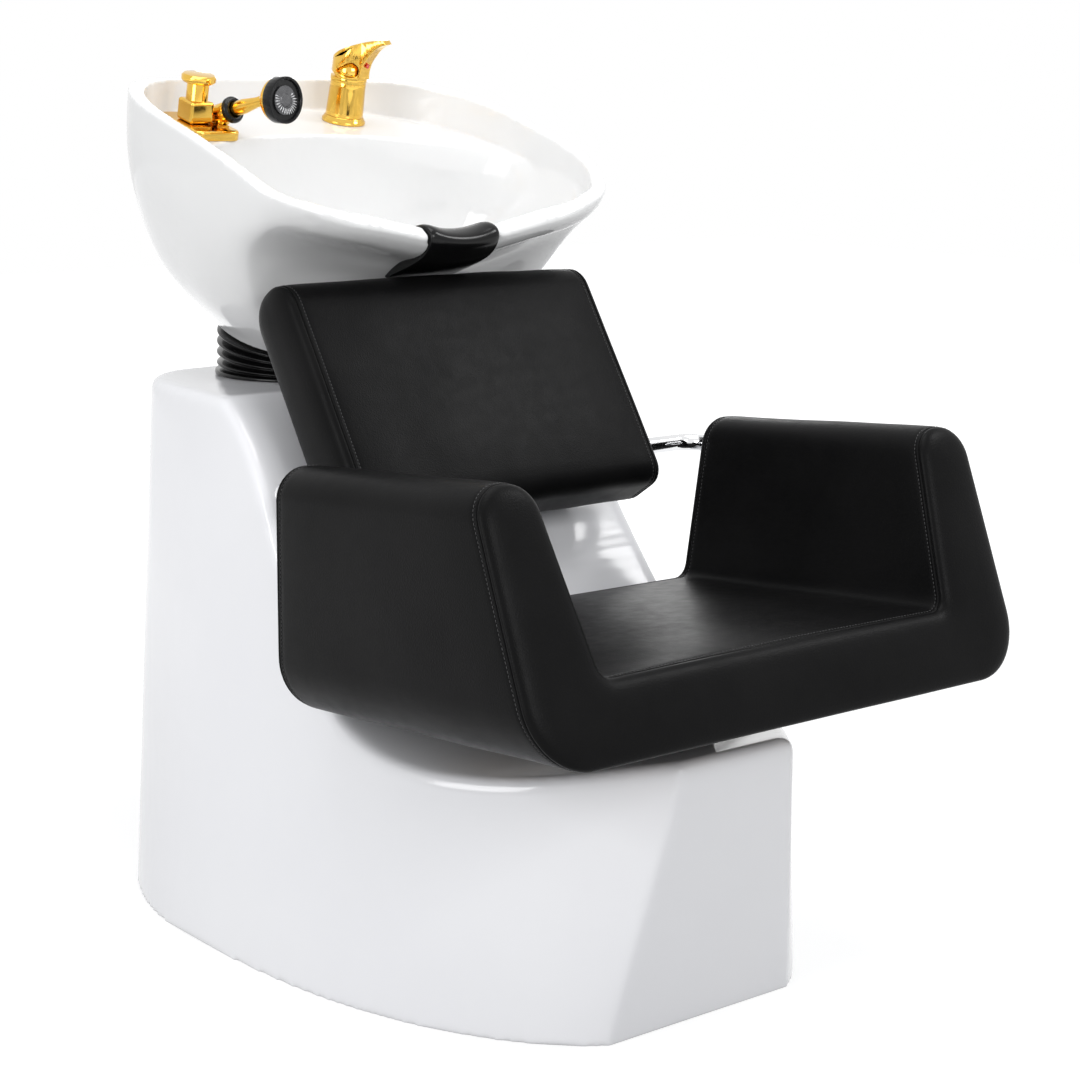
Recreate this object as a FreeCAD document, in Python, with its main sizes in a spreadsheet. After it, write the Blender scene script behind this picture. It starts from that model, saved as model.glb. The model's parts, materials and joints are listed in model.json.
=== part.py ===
import FreeCAD, Part
import math
import os
import Sketcher

# Hair washing bed: a shampoo chair joined to a tilting backwash bowl.
# +Z is up, the sitter faces -Y and +X is the sitter's left. The origin is the
# centre of the four floor anchors, at floor level. All lengths are millimetres.

SIZES = {
    # Moulded base shell
    "shell_half_width": 331, "shell_front": 329, "shell_rear": 585,
    "shell_wall": 6, "column_height": 657, "shelf_height": 289,
    "column_rim_front": 272, "shell_rim_radius": 12,
    # Rear service opening and its cover
    "panel_width": 176, "panel_height": 330, "panel_base": 150,
    "panel_thickness": 4, "panel_overlap": 14, "panel_corner": 12,
    "panel_screw_head": 5, "panel_screw_radius": 2,
    # Floor frame of the base
    "anchor_half_x": 95, "anchor_half_y": 200, "anchor_bore": 12,
    "floor_plate_width": 250, "floor_plate_front": 250, "floor_plate_rear": 470,
    "floor_plate_thickness": 6,
    "post_width": 80, "post_depth": 60, "post_wall": 3, "post_y": 418,
    "riser_width": 110, "riser_depth": 90, "riser_y": 235, "riser_length": 400,
    "brace_width": 40, "brace_height": 40, "brace_z": 170,
    "pipe_opening_half_x": 96, "pipe_opening_half_y": 66,
    # Seat carrier
    "seat_plate_width": 300, "seat_plate_length": 320, "seat_plate_thickness": 5,
    "seat_bolt_half_x": 115, "seat_bolt_half_y": 120, "seat_bolt_radius": 4,
    "seat_bolt_length": 18, "seat_bolt_head": 6.5, "seat_bolt_head_height": 5.3,
    "seat_board_width": 420, "seat_board_length": 380, "seat_board_thickness": 15,
    # Upholstered seat and arms
    "seat_half_width": 354, "seat_inner_half": 251, "arm_inner_half_top": 282,
    "seat_thickness": 83, "arm_height": 281, "arm_top_radius": 36,
    "seat_outer_radius": 70, "seat_inner_radius": 18, "seat_front": 482,
    "seat_rake": 113, "seat_rear_y": 6, "seat_base_z": 337,
    "seat_front_radius": 13, "seat_rear_radius": 9, "seat_swell": 6,
    # Back rail and backrest
    "rail_radius": 11, "rail_y": 50, "rail_z": 580,
    "rail_half_span": 318, "rail_bend_radius": 34, "rail_embed": 14,
    "rosette_radius": 19, "rosette_thickness": 5,
    "backrest_half_width": 222, "backrest_height": 304, "backrest_thickness": 83,
    "backrest_crown": 9, "backrest_top_radius": 40, "backrest_foot_radius": 24,
    "backrest_belly": 7, "backrest_below_rail": 54, "backrest_before_rail": 27,
    "sleeve_wall": 2.5, "collar_thickness": 4, "collar_radius": 17,
    # Arm end bracket
    "bracket_width": 26, "bracket_height": 55, "bracket_thickness": 4,
    "bracket_reach": 9, "bracket_z": 433,
    # Bowl tilt joint
    "datum_height": 700, "pin_drop": 18, "pin_radius": 8,
    "clevis_thickness": 6, "clevis_gap": 64, "clevis_depth": 46, "clevis_drop": 30,
    "lug_radius": 16, "knuckle_thickness": 6, "tilt_plate_half_width": 98,
    "tilt_plate_half_length": 74, "tilt_plate_corner": 34, "tilt_plate_thickness": 5,
    "tilt_bolt_half_x": 80, "tilt_bolt_half_y": 45, "tilt_bolt_radius": 4,
    "tilt_bolt_length": 14, "tilt_bolt_head": 6.5, "tilt_bolt_head_height": 5.3,
    "hose_hole_radius": 24, "hose_hole_y": 44, "pin_head_radius": 13,
    "pin_head_height": 8, "pin_nut_height": 8, "disc_radius": 15,
    "disc_thickness": 2,
    # Bellows
    "bellows_half_x": 143, "bellows_half_y": 112, "bellows_fold": 9,
    "bellows_wall": 3, "bellows_ribs": 4,
    # Ceramic bowl, in its own tilted frame
    "bowl_half_width": 276, "bowl_front": 262, "bowl_rear": 249,
    "bowl_rim_height": 297, "bowl_lip_height": 250, "bowl_neck_height": 225,
    "lip_band_height": 53,
    "bowl_wall": 11, "rim_width": 19, "deck_height": 246,
    "deck_thickness": 12, "basin_rear": 98, "basin_floor": 42,
    "foot_half_x": 145, "foot_half_y": 115, "foot_height": 10,
    "drain_y": -46, "drain_hole_radius": 23, "notch_half_width": 52, "notch_depth": 27,
    "notch_run": 46,
    # Neck rest
    "neck_wall": 5, "neck_dip": 11, "neck_drop": 66,
    # Drain
    "flange_radius": 35, "flange_thickness": 3, "flange_neck": 22, "tail_radius": 20,
    "flange_neck_radius": 21.5,
    "tail_wall": 3, "tail_length": 45, "tail_nut_radius": 37,
    "tail_nut_height": 12, "drain_seal_thickness": 3, "strainer_radius": 27,
    "strainer_height": 9, "strainer_stem_radius": 4, "strainer_stem": 20,
    # Mixer
    "mixer_x": 98, "mixer_y": 163, "mixer_ring_radius": 29.5,
    "mixer_ring_height": 9, "mixer_radius": 25.5, "mixer_height": 46,
    "mixer_neck_radius": 24, "mixer_cap_height": 6,
    "shank_radius": 15, "shank_length": 44, "lock_nut_radius": 22,
    "lock_nut_height": 8, "inlet_radius": 5, "inlet_length": 26,
    "inlet_offset": 8, "lever_reach": 56, "lever_rise": 59, "lever_tip_width": 15,
    "lever_pivot_z": 6, "dome_radius": 20, "dot_radius": 3.2, "dot_height": 1.5,
    # Vacuum breaker and hose guide
    "breaker_x": -150, "breaker_y": 124, "breaker_plate_width": 66,
    "breaker_plate_length": 104, "breaker_plate_height": 12,
    "breaker_plate_corner": 12, "breaker_body_width": 34,
    "breaker_body_length": 36, "breaker_body_height": 28,
    "breaker_neck_radius": 14, "breaker_neck_height": 22,
    "breaker_cap_radius": 22, "breaker_cap_height": 10,
    "breaker_shank_radius": 12, "breaker_shank_length": 40,
    "breaker_nut_radius": 19, "breaker_nut_height": 8,
    "guide_x": 27, "guide_y": -10, "guide_radius": 13, "guide_bore": 10.5,
    "guide_foot_radius": 10, "breaker_body_x": -7,
    "guide_length": 26, "guide_ring_radius": 17, "guide_ring_length": 11,
    # Hand spray
    "handle_radius": 9.5, "handle_tip_radius": 6.5, "handle_length": 84,
    "handle_insert": 26, "spray_radius": 29, "spray_bell_depth": 22,
    "spray_rim_depth": 13, "spray_wall": 2.5, "spray_face_inset": 4,
    "spray_face_thickness": 4,
    # Fits shared by all pieces
    "seat_gap": 0.3, "running_gap": 0.5, "overrun": 5, "oval_points": 16,
}

ANGLES = {
    "bowl_lean": 13.5, "seat_lean": 4.7, "backrest_lean": 33.5,
    "spray_lift": 26, "spray_turn": 13, "spray_nod": 14, "lever_turn": 22,
    "lip_rise": 14,
}

doc = FreeCAD.newDocument("hair_washing_bed")
dims = doc.addObject("Spreadsheet::Sheet", "dims")


def fill_sheet():
    """Write every driving size into the sheet, one named cell each."""
    rows = list(SIZES.items()) + list(ANGLES.items())
    for row, (name, value) in enumerate(rows, 1):
        dims.set("A%d" % row, name)
        dims.set("B%d" % row, str(value))
        dims.setAlias("B%d" % row, name)
    doc.recompute()


def size(name):
    return float(dims.get(name))


fill_sheet()
V = FreeCAD.Vector
X_AXIS = V(1, 0, 0)
Y_AXIS = V(0, 1, 0)
Z_AXIS = V(0, 0, 1)
GAP = size("seat_gap")
OVERRUN = size("overrun")
PARTS = []


# Frames

def placed(x=0, y=0, z=0, axis=Z_AXIS, degrees=0):
    return FreeCAD.Placement(V(x, y, z), FreeCAD.Rotation(axis, degrees))


WORLD = placed()
BOWL = placed(0, size("post_y"), size("datum_height"), X_AXIS, size("bowl_lean"))
SEAT = placed(0, -size("seat_rear_y"), size("seat_base_z"), X_AXIS, -size("seat_lean"))
BACK = placed(0, size("rail_y"), size("rail_z"), X_AXIS, -size("backrest_lean"))


# Document helpers

def keep(piece, label, frame=WORLD, local=WORLD):
    """Name a finished sub-part, put it in its frame and list it."""
    piece.Label = label
    piece.Placement = frame.multiply(local)
    PARTS.append(piece)
    return piece


def solid_feature(label, shape, frame=WORLD, local=WORLD):
    piece = doc.addObject("Part::Feature", label)
    piece.Shape = shape
    return keep(piece, label, frame, local)


def bind(piece, **expressions):
    for prop, text in expressions.items():
        piece.setExpression(prop, text)
    return piece


def cylinder(name, radius, height, at=WORLD):
    piece = doc.addObject("Part::Cylinder", name)
    bind(piece, Radius=radius, Height=height)
    piece.Placement = at
    return piece


def box(name, length, width, height, at=WORLD):
    piece = doc.addObject("Part::Box", name)
    bind(piece, Length=length, Width=width, Height=height)
    piece.Placement = at
    return piece


def joined(name, pieces):
    union = doc.addObject("Part::MultiFuse", name)
    union.Shapes = pieces
    return union


def less(name, base, tool):
    cut = doc.addObject("Part::Cut", name)
    cut.Base = base
    cut.Tool = tool
    return cut


def sketch_on(body, role, name):
    sketch = body.newObject("Sketcher::SketchObject", name)
    plane = [f for f in body.Origin.OriginFeatures if f.Role == role][0]
    sketch.AttachmentSupport = (plane, "")
    sketch.MapMode = "FlatFace"
    return sketch


def outline(sketch, corners):
    """Closed straight-sided outline through corners given as sheet expressions."""
    count = len(corners)
    first = sketch.GeometryCount
    start = []
    for index in range(count):
        turn = 2 * math.pi * index / count
        start.append(V(math.cos(turn), math.sin(turn), 0))
    for index in range(count):
        sketch.addGeometry(Part.LineSegment(start[index], start[(index + 1) % count]), False)
    for index in range(count):
        following = first + (index + 1) % count
        sketch.addConstraint(Sketcher.Constraint("Coincident", first + index, 2, following, 1))
    for index, (across, along) in enumerate(corners):
        places = (("DistanceX", across, start[index].x), ("DistanceY", along, start[index].y))
        for kind, text, value in places:
            number = sketch.addConstraint(
                Sketcher.Constraint(kind, -1, 1, first + index, 1, value))
            sketch.setExpression("Constraints[%d]" % number, text)


def circle(sketch, across, along, radius):
    first = sketch.GeometryCount
    sketch.addGeometry(Part.Circle(V(0, 0, 0), Z_AXIS, 1), False)
    for kind, text in (("DistanceX", across), ("DistanceY", along)):
        number = sketch.addConstraint(Sketcher.Constraint(kind, -1, 1, first, 3, 1))
        sketch.setExpression("Constraints[%d]" % number, text)
    number = sketch.addConstraint(Sketcher.Constraint("Radius", first, 1))
    sketch.setExpression("Constraints[%d]" % number, radius)


def rectangle(half_x, half_y):
    return [("-(%s)" % half_x, "-(%s)" % half_y), (half_x, "-(%s)" % half_y),
            (half_x, half_y), ("-(%s)" % half_x, half_y)]


def plate(name, corners, thickness, holes=()):
    """Flat piece: an outline with round holes, padded up from z = 0."""
    body = doc.addObject("PartDesign::Body", name)
    sketch = sketch_on(body, "XY_Plane", name + "_outline")
    outline(sketch, corners)
    for hole in holes:
        circle(sketch, *hole)
    pad = body.newObject("PartDesign::Pad", name + "_pad")
    pad.Profile = sketch
    bind(pad, Length=thickness)
    return body


def turned(name, profile):
    """Round piece: an outline of (radius, height) corners turned about its Z axis."""
    body = doc.addObject("PartDesign::Body", name)
    sketch = sketch_on(body, "XZ_Plane", name + "_profile")
    outline(sketch, profile)
    spin = body.newObject("PartDesign::Revolution", name + "_turn")
    spin.Profile = sketch
    spin.ReferenceAxis = (sketch, ["V_Axis"])
    spin.Angle = 360
    return body


# Curve helpers

def chord_steps(points):
    """Running lengths along the points, which set the pace of a smooth curve."""
    steps = [0.0]
    for before, after in zip(points, points[1:]):
        steps.append(steps[-1] + (after - before).Length)
    return steps


def smooth_edge(points, closed=False, steps=None):
    """Smooth curve through points; curves that share their steps loft into a simple face."""
    curve = Part.BSplineCurve()
    if steps is None:
        curve.interpolate(points, PeriodicFlag=closed)
    else:
        curve.interpolate(points, PeriodicFlag=closed, Parameters=steps)
    return curve.toShape()


def oval(half_x, front, rear, z, power_front=2.0, power_rear=2.0, straight=False):
    """Closed superellipse in a level plane, from y = -front to y = rear.

    Hidden hollows take it as straight sides between its points."""
    count = int(size("oval_points"))
    middle = (rear - front) / 2
    half_y = (rear + front) / 2
    points = []
    for step in range(count):
        turn = 2 * math.pi * step / count
        power = power_rear if math.sin(turn) > 0 else power_front
        across = abs(math.cos(turn)) ** power
        along = abs(math.sin(turn)) ** power
        reach = (across + along) ** (-1 / power)
        points.append(V(reach * math.cos(turn) * half_x,
                        middle + reach * math.sin(turn) * half_y, z))
    if straight:
        return Part.makePolygon(points + points[:1])
    steps = [float(step) for step in range(count + 1)]
    return Part.Wire([smooth_edge(points, closed=True, steps=steps)])


def loft(wires, ruled=False):
    return Part.makeLoft(wires, True, ruled)


def moved(shape, placement):
    shape = shape.copy()
    shape.Placement = placement.multiply(shape.Placement)
    return shape


def hexagon(radius, height, base_z=0):
    """Hexagonal prism, radius measured to its corners."""
    corners = [V(radius * math.cos(math.pi * k / 3), radius * math.sin(math.pi * k / 3), base_z)
               for k in range(7)]
    return Part.Face(Part.makePolygon(corners)).extrude(V(0, 0, height))


# Base shell
# Shares of the half width and of the run from front to rear, one row per point of the side
# wall: where it meets the floor, and where it would reach at the height of the column.

SIDE_WALL_SHARES = [
    ((0.415, 0.000), (0.067, -0.122)), ((0.565, 0.044), (0.278, -0.013)),
    ((0.670, 0.092), (0.452, 0.060)), ((0.763, 0.148), (0.575, 0.133)),
    ((0.842, 0.212), (0.666, 0.208)), ((0.957, 0.372), (0.740, 0.382)),
    ((1.000, 0.557), (0.752, 0.579)), ((0.982, 0.721), (0.744, 0.732)),
    ((0.903, 0.817), (0.703, 0.856)), ((0.834, 0.869), (0.666, 0.899)),
    ((0.680, 0.940), (0.550, 0.947)), ((0.483, 0.989), (0.423, 0.964)),
    ((0.302, 1.000), (0.272, 0.968)),
]

# Side view of the base, from the front lip back up to the column rim: shares of the run
# from front to rear and of the height between the shelf and the column top.

SADDLE_SHARES = [
    (-0.150, 0.130), (-0.056, 0.098), (0.075, 0.022), (0.185, -0.003), (0.280, 0.025),
    (0.350, 0.100), (0.410, 0.250), (0.510, 0.600), (0.575, 0.840),
]


def side_wall_points(level, inset):
    """Points along one side wall, at the floor (level 0) or at the column's height (1)."""
    half_width = size("shell_half_width") - inset
    front = -size("shell_front") + inset
    run = size("shell_front") + size("shell_rear") - 2 * inset
    z = size("column_height") * level
    return [V(row[level][0] * half_width, front + row[level][1] * run, z)
            for row in SIDE_WALL_SHARES]


def base_block(inset):
    """Whole outside of the base, or with an inset the plain space inside its wall."""
    half_width = size("shell_half_width")
    run = size("shell_front") + size("shell_rear")
    front = -size("shell_front")
    height = size("column_height")
    steps = chord_steps(side_wall_points(0, inset))
    back_steps = [steps[-1] - step for step in reversed(steps)]
    wires = []
    for level in (0, 1):
        side = side_wall_points(level, inset)
        other = [V(-p.x, p.y, p.z) for p in reversed(side)]
        if inset:
            wires.append(Part.makePolygon(side + other + side[:1]))
            continue
        wires.append(Part.Wire([
            smooth_edge(side, steps=steps), Part.makeLine(side[-1], other[0]),
            smooth_edge(other, steps=back_steps), Part.makeLine(other[-1], side[0])]))
    block = loft(wires, ruled=True)
    shelf = size("shelf_height")
    under = inset * 1.5
    saddle = [V(0, front + share_y * run, shelf - under + share_z * (height - shelf))
              for share_y, share_z in SADDLE_SHARES]
    rim = V(0, size("column_rim_front") + inset, height - inset)
    crest = saddle + [rim]
    top = height + OVERRUN
    far_rear = size("shell_rear") + OVERRUN
    far_front = crest[0].y
    brow = Part.makePolygon(crest) if inset else smooth_edge(crest)
    edges = [brow, Part.makeLine(rim, V(0, far_rear, rim.z)),
             Part.makeLine(V(0, far_rear, rim.z), V(0, far_rear, top)),
             Part.makeLine(V(0, far_rear, top), V(0, far_front, top)),
             Part.makeLine(V(0, far_front, top), crest[0])]
    above = Part.Face(Part.Wire(edges))
    above.translate(V(-half_width - OVERRUN, 0, 0))
    block = block.cut(above.extrude(V(2 * (half_width + OVERRUN), 0, 0)))
    if inset:
        return block
    upper = [e for e in block.Edges if e.BoundBox.ZMin > shelf / 2]
    return block.makeFillet(size("shell_rim_radius"), upper)


def rear_wall_frame():
    """Frame on the outside of the rear wall, +Y outwards and +Z up the wall."""
    run = size("shell_front") + size("shell_rear")
    foot = SIDE_WALL_SHARES[-1][0][1] * run - size("shell_front")
    head = SIDE_WALL_SHARES[-1][1][1] * run - size("shell_front")
    lean = math.degrees(math.atan2(foot - head, size("column_height")))
    return placed(0, foot, 0, X_AXIS, lean)


def rounded_panel(half_width, height, thickness, base_z, corner):
    """Upright panel with rounded corners, its inner face on y = 0."""
    low = base_z
    high = base_z + height
    wire = Part.makePolygon([V(-half_width, 0, low), V(half_width, 0, low),
                             V(half_width, 0, high), V(-half_width, 0, high),
                             V(-half_width, 0, low)])
    panel = Part.Face(wire).extrude(V(0, thickness, 0))
    uprights = [e for e in panel.Edges
                if abs(e.Vertexes[0].Point.y - e.Vertexes[1].Point.y) > thickness / 2]
    return panel.makeFillet(corner, uprights)


def base_shell():
    wall = size("shell_wall")
    shell = base_block(0)
    inside = base_block(wall)
    below = Part.makeBox(2 * size("shell_half_width"), size("shell_front") + size("shell_rear"),
                         wall, V(-size("shell_half_width"), -size("shell_front"), -wall))
    shell = shell.cut(inside).cut(below)
    opening = rounded_panel(size("panel_width") / 2 - size("panel_overlap"),
                            size("panel_height") - 2 * size("panel_overlap"),
                            4 * wall, size("panel_base") + size("panel_overlap"),
                            size("panel_corner"))
    opening.translate(V(0, -2 * wall, 0))
    shell = shell.cut(moved(opening, rear_wall_frame()))
    pipes = oval(size("pipe_opening_half_x"), size("pipe_opening_half_y"),
                 size("pipe_opening_half_y"), size("column_height") - 2 * wall)
    pipes.translate(V(0, size("post_y"), 0))
    shell = shell.cut(Part.Face(pipes).extrude(V(0, 0, 4 * wall)))
    riser_hole = Part.makeBox(
        size("riser_width") + 2 * GAP, size("riser_depth") + 2 * GAP, size("shelf_height"),
        V(-size("riser_width") / 2 - GAP, -size("riser_y") - size("riser_depth") / 2 - GAP,
          size("shelf_height") / 2))
    shell = shell.cut(riser_hole)
    return solid_feature("base_shell", shell)


# Rear service cover

def rear_access_panel():
    panel = rounded_panel(size("panel_width") / 2, size("panel_height"),
                          size("panel_thickness"), size("panel_base"), size("panel_corner"))
    for x, z in panel_screw_places():
        hole = Part.makeCylinder(size("panel_screw_radius") + GAP, 2 * size("panel_thickness"),
                                 V(x, -size("panel_thickness") / 2, z), Y_AXIS)
        panel = panel.cut(hole)
    return solid_feature("rear_access_panel", panel, rear_wall_frame(), placed(0, GAP, 0))


def panel_screw_places():
    edge = size("panel_overlap") / 2
    half = size("panel_width") / 2 - edge
    low = size("panel_base") + edge
    high = size("panel_base") + size("panel_height") - edge
    return [(x, z) for x in (-half, half) for z in (low, high)]


def bolt(radius, length, head_radius, head_height, sides=True):
    """Bolt standing on its head at z = 0, its shank upwards."""
    head = hexagon(head_radius, head_height) if sides else Part.makeCylinder(
        head_radius, head_height)
    shank = Part.makeCylinder(radius, length, V(0, 0, head_height))
    return head.fuse(shank)


def panel_screws():
    """Round-headed screws that hold the cover to the rear wall."""
    face = GAP + size("panel_thickness")
    head = size("panel_screw_radius")
    screw = bolt(size("panel_screw_radius"), face, size("panel_screw_head"), head, False)
    screw = moved(screw, placed(0, 0, 0, X_AXIS, 90))
    screws = [moved(screw, placed(x, face + GAP + head, z)) for x, z in panel_screw_places()]
    return solid_feature("panel_screws", Part.makeCompound(screws), rear_wall_frame())


# Floor frame

def floor_plate():
    corners = [("-dims.floor_plate_width / 2", "-dims.floor_plate_front"),
               ("dims.floor_plate_width / 2", "-dims.floor_plate_front"),
               ("dims.floor_plate_width / 2", "dims.floor_plate_rear"),
               ("-dims.floor_plate_width / 2", "dims.floor_plate_rear")]
    holes = [(across + "dims.anchor_half_x", along + "dims.anchor_half_y", "dims.anchor_bore / 2")
             for across in ("-", "") for along in ("-", "")]
    return keep(plate("floor_plate", corners, "dims.floor_plate_thickness", holes),
                "floor_plate")


def tube(name, width, depth, wall, height):
    """Upright rectangular tube centred on its Z axis."""
    body = doc.addObject("PartDesign::Body", name)
    sketch = sketch_on(body, "XY_Plane", name + "_section")
    outline(sketch, rectangle(width + " / 2", depth + " / 2"))
    outline(sketch, rectangle("%s / 2 - %s" % (width, wall), "%s / 2 - %s" % (depth, wall)))
    pad = body.newObject("PartDesign::Pad", name + "_pad")
    pad.Profile = sketch
    bind(pad, Length=height)
    return body


def pin_place():
    """World point of the tilt pin's centre."""
    return BOWL.multVec(V(0, 0, -size("pin_drop")))


def floor_frame():
    top = "dims.floor_plate_thickness"
    post = tube("column_post", "dims.post_width", "dims.post_depth", "dims.post_wall",
                "dims.datum_height - dims.pin_drop * cos(dims.bowl_lean * 1 deg)"
                " - dims.clevis_drop - " + top)
    keep(post, "column_post", placed(0, size("post_y"), size("floor_plate_thickness")))
    riser = tube("riser_tube", "dims.riser_width", "dims.riser_depth", "dims.post_wall",
                 "dims.riser_length")
    riser.Placement = placed(0, -size("riser_y"), size("floor_plate_thickness"))
    above = box("riser_trim", "dims.riser_width * 2", "dims.riser_depth * 6", "dims.riser_length")
    drop = size("seat_plate_thickness") + 2 * GAP
    above.Placement = SEAT.multiply(placed(
        -size("riser_width"), -size("riser_y") - 3 * size("riser_depth"), -drop))
    keep(less("seat_riser", riser, above), "seat_riser")
    brace = box("frame_brace", "dims.brace_width",
                "dims.post_y + dims.riser_y - dims.post_depth / 2 - dims.riser_depth / 2",
                "dims.brace_height")
    keep(brace, "frame_brace",
         placed(-size("brace_width") / 2, -size("riser_y") + size("riser_depth") / 2,
                size("brace_z")))


# Seat carrier

def seat_plate():
    """Plate under the seat board, in the seat frame with y = 0 at the rear of the seat."""
    middle = -size("riser_y") + size("seat_rear_y")
    holes = [(across + "dims.seat_bolt_half_x", along + "dims.seat_bolt_half_y",
              "dims.seat_bolt_radius + dims.seat_gap")
             for across in ("-", "") for along in ("-", "")]
    piece = plate("seat_plate", rectangle("dims.seat_plate_width / 2", "dims.seat_plate_length / 2"),
                  "dims.seat_plate_thickness", holes)
    drop = size("seat_plate_thickness") + GAP
    return keep(piece, "seat_plate", SEAT, placed(0, middle, -drop))


def seat_bolts():
    middle = -size("riser_y") + size("seat_rear_y")
    under = -size("seat_plate_thickness") - 2 * GAP - size("seat_bolt_head_height")
    screw = bolt(size("seat_bolt_radius"), size("seat_bolt_length"), size("seat_bolt_head"),
                 size("seat_bolt_head_height"))
    bolts = [moved(screw, placed(x, middle + y, under))
             for x in (-size("seat_bolt_half_x"), size("seat_bolt_half_x"))
             for y in (-size("seat_bolt_half_y"), size("seat_bolt_half_y"))]
    return solid_feature("seat_bolts", Part.makeCompound(bolts), SEAT)


def seat_board():
    middle = -size("riser_y") + size("seat_rear_y")
    holes = [(across + "dims.seat_bolt_half_x", along + "dims.seat_bolt_half_y",
              "dims.seat_bolt_radius + dims.seat_gap")
             for across in ("-", "") for along in ("-", "")]
    piece = plate("seat_board", rectangle("dims.seat_board_width / 2", "dims.seat_board_length / 2"),
                  "dims.seat_board_thickness", holes)
    return keep(piece, "seat_board", SEAT, placed(0, middle, 0))


# Upholstered seat and arms, one padded shell

def arc_through(start, corner, end, radius):
    """Rounded corner: the two touch points and the arc between them."""
    to_start = (start - corner).normalize()
    to_end = (end - corner).normalize()
    half = to_start.getAngle(to_end) / 2
    reach = radius / math.tan(half)
    first = corner + to_start * reach
    last = corner + to_end * reach
    inward = (to_start + to_end).normalize()
    middle = corner + inward * (radius / math.sin(half) - radius)
    return first, Part.Arc(first, middle, last).toShape(), last


def rounded_wire(corners, radii, swells=None):
    """Closed wire with an arc of its own radius at each corner; a run may swell outwards."""
    count = len(corners)
    rounds = [arc_through(corners[k - 1], corners[k], corners[(k + 1) % count], radii[k])
              for k in range(count)]
    edges = []
    for k in range(count):
        edges.append(rounds[k][1])
        start = rounds[k][2]
        end = rounds[(k + 1) % count][0]
        if (end - start).Length < GAP / 10:
            continue
        swell = (swells or {}).get(k)
        if swell is None:
            edges.append(Part.makeLine(start, end))
        else:
            edges.append(Part.Arc(start, (start + end) / 2 + swell, end).toShape())
    return Part.Wire(edges)


def seat_section():
    """U outline of seat and arms in X and Z; the seat and the outer sides swell a little."""
    outer = size("seat_half_width")
    low = size("seat_inner_half")
    high = size("arm_inner_half_top")
    top = size("arm_height")
    seat = size("seat_thickness")
    crest = size("arm_top_radius")
    outer_round = size("seat_outer_radius")
    inner_round = size("seat_inner_radius")
    swell = size("seat_swell")
    corners = [V(-outer, 0, 0), V(outer, 0, 0), V(outer, 0, top), V(high, 0, top),
               V(low, 0, seat), V(-low, 0, seat), V(-high, 0, top), V(-outer, 0, top)]
    radii = [outer_round, outer_round, crest, crest, inner_round, inner_round, crest, crest]
    return rounded_wire(corners, radii, {4: V(0, 0, swell)})


def flat_end(shape, way):
    """Flat face that looks most along Y in the way asked for."""
    flats = [f for f in shape.Faces if isinstance(f.Surface, Part.Plane)]
    return max(flats, key=lambda f: way * f.normalAt(0, 0).y)


def seat_upholstery():
    """The U is a straight run of one section, upright at the rear and raked at the front."""
    reach = size("seat_front") + size("seat_rear_y")
    run = Part.Face(seat_section()).extrude(V(0, -2 * reach, 0))
    run.translate(V(0, reach / 2, 0))
    run = moved(run, SEAT)
    height = size("arm_height")
    rake = size("seat_rake")
    half = size("seat_half_width") + OVERRUN
    low = size("seat_base_z") + math.tan(math.radians(size("seat_lean"))) * (
        size("seat_front") - size("seat_rear_y"))
    ahead = Part.makePolygon([
        V(-half, -size("seat_front") - rake, low - height),
        V(-half, -size("seat_front") + 2 * rake, low + 2 * height),
        V(-half, -3 * reach, low + 2 * height), V(-half, -3 * reach, low - height),
        V(-half, -size("seat_front") - rake, low - height)])
    run = run.cut(Part.Face(ahead).extrude(V(2 * half, 0, 0)))
    behind = Part.makeBox(2 * half, 2 * reach, 4 * height, V(-half, -size("seat_rear_y"), 0))
    run = run.cut(behind)
    run = run.makeFillet(size("seat_front_radius"), flat_end(run, -1).Edges)
    run = run.makeFillet(size("seat_rear_radius"), flat_end(run, 1).Edges)
    for cavity in seat_cavities():
        run = run.cut(cavity)
    return solid_feature("seat_upholstery", run)


def seat_cavities():
    """Room for the seat board, its bolts and the ends of the back rail."""
    middle = -size("riser_y") + size("seat_rear_y")
    board_x = size("seat_board_width") / 2 + GAP
    board_y = size("seat_board_length") / 2 + GAP
    rooms = [moved(Part.makeBox(2 * board_x, 2 * board_y,
                                size("seat_board_thickness") + GAP + OVERRUN,
                                V(-board_x, middle - board_y, -OVERRUN)), SEAT)]
    for x in (-size("seat_bolt_half_x"), size("seat_bolt_half_x")):
        for y in (-size("seat_bolt_half_y"), size("seat_bolt_half_y")):
            rooms.append(moved(Part.makeCylinder(
                size("seat_bolt_head"), size("seat_bolt_length") + GAP, V(x, middle + y, 0)), SEAT))
    for side in (-1, 1):
        depth = size("rail_embed") + GAP
        rooms.append(Part.makeCylinder(
            size("rail_radius") + GAP, depth + OVERRUN,
            V(side * size("rail_half_span"), -size("seat_rear_y") - depth, size("rail_z")),
            Y_AXIS))
    return rooms


# Bent back rail

def rail_path():
    half = size("rail_half_span")
    bend = size("rail_bend_radius")
    y = size("rail_y")
    z = size("rail_z")
    end_y = -size("seat_rear_y") - size("rail_embed")
    corner = bend * (1 - math.sqrt(0.5))
    edges = [Part.makeLine(V(-half, end_y, z), V(-half, y - bend, z)),
             Part.Arc(V(-half, y - bend, z), V(-half + corner, y - corner, z),
                      V(-half + bend, y, z)).toShape(),
             Part.makeLine(V(-half + bend, y, z), V(half - bend, y, z)),
             Part.Arc(V(half - bend, y, z), V(half - corner, y - corner, z),
                      V(half, y - bend, z)).toShape(),
             Part.makeLine(V(half, y - bend, z), V(half, end_y, z))]
    return Part.Wire(edges)


def round_pipe(radius, path):
    start = path.Edges[0].Vertexes[0].Point
    direction = path.Edges[0].tangentAt(path.Edges[0].FirstParameter)
    ring = Part.Wire(Part.makeCircle(radius, start, direction))
    return path.makePipeShell([ring], True, False)


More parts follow.
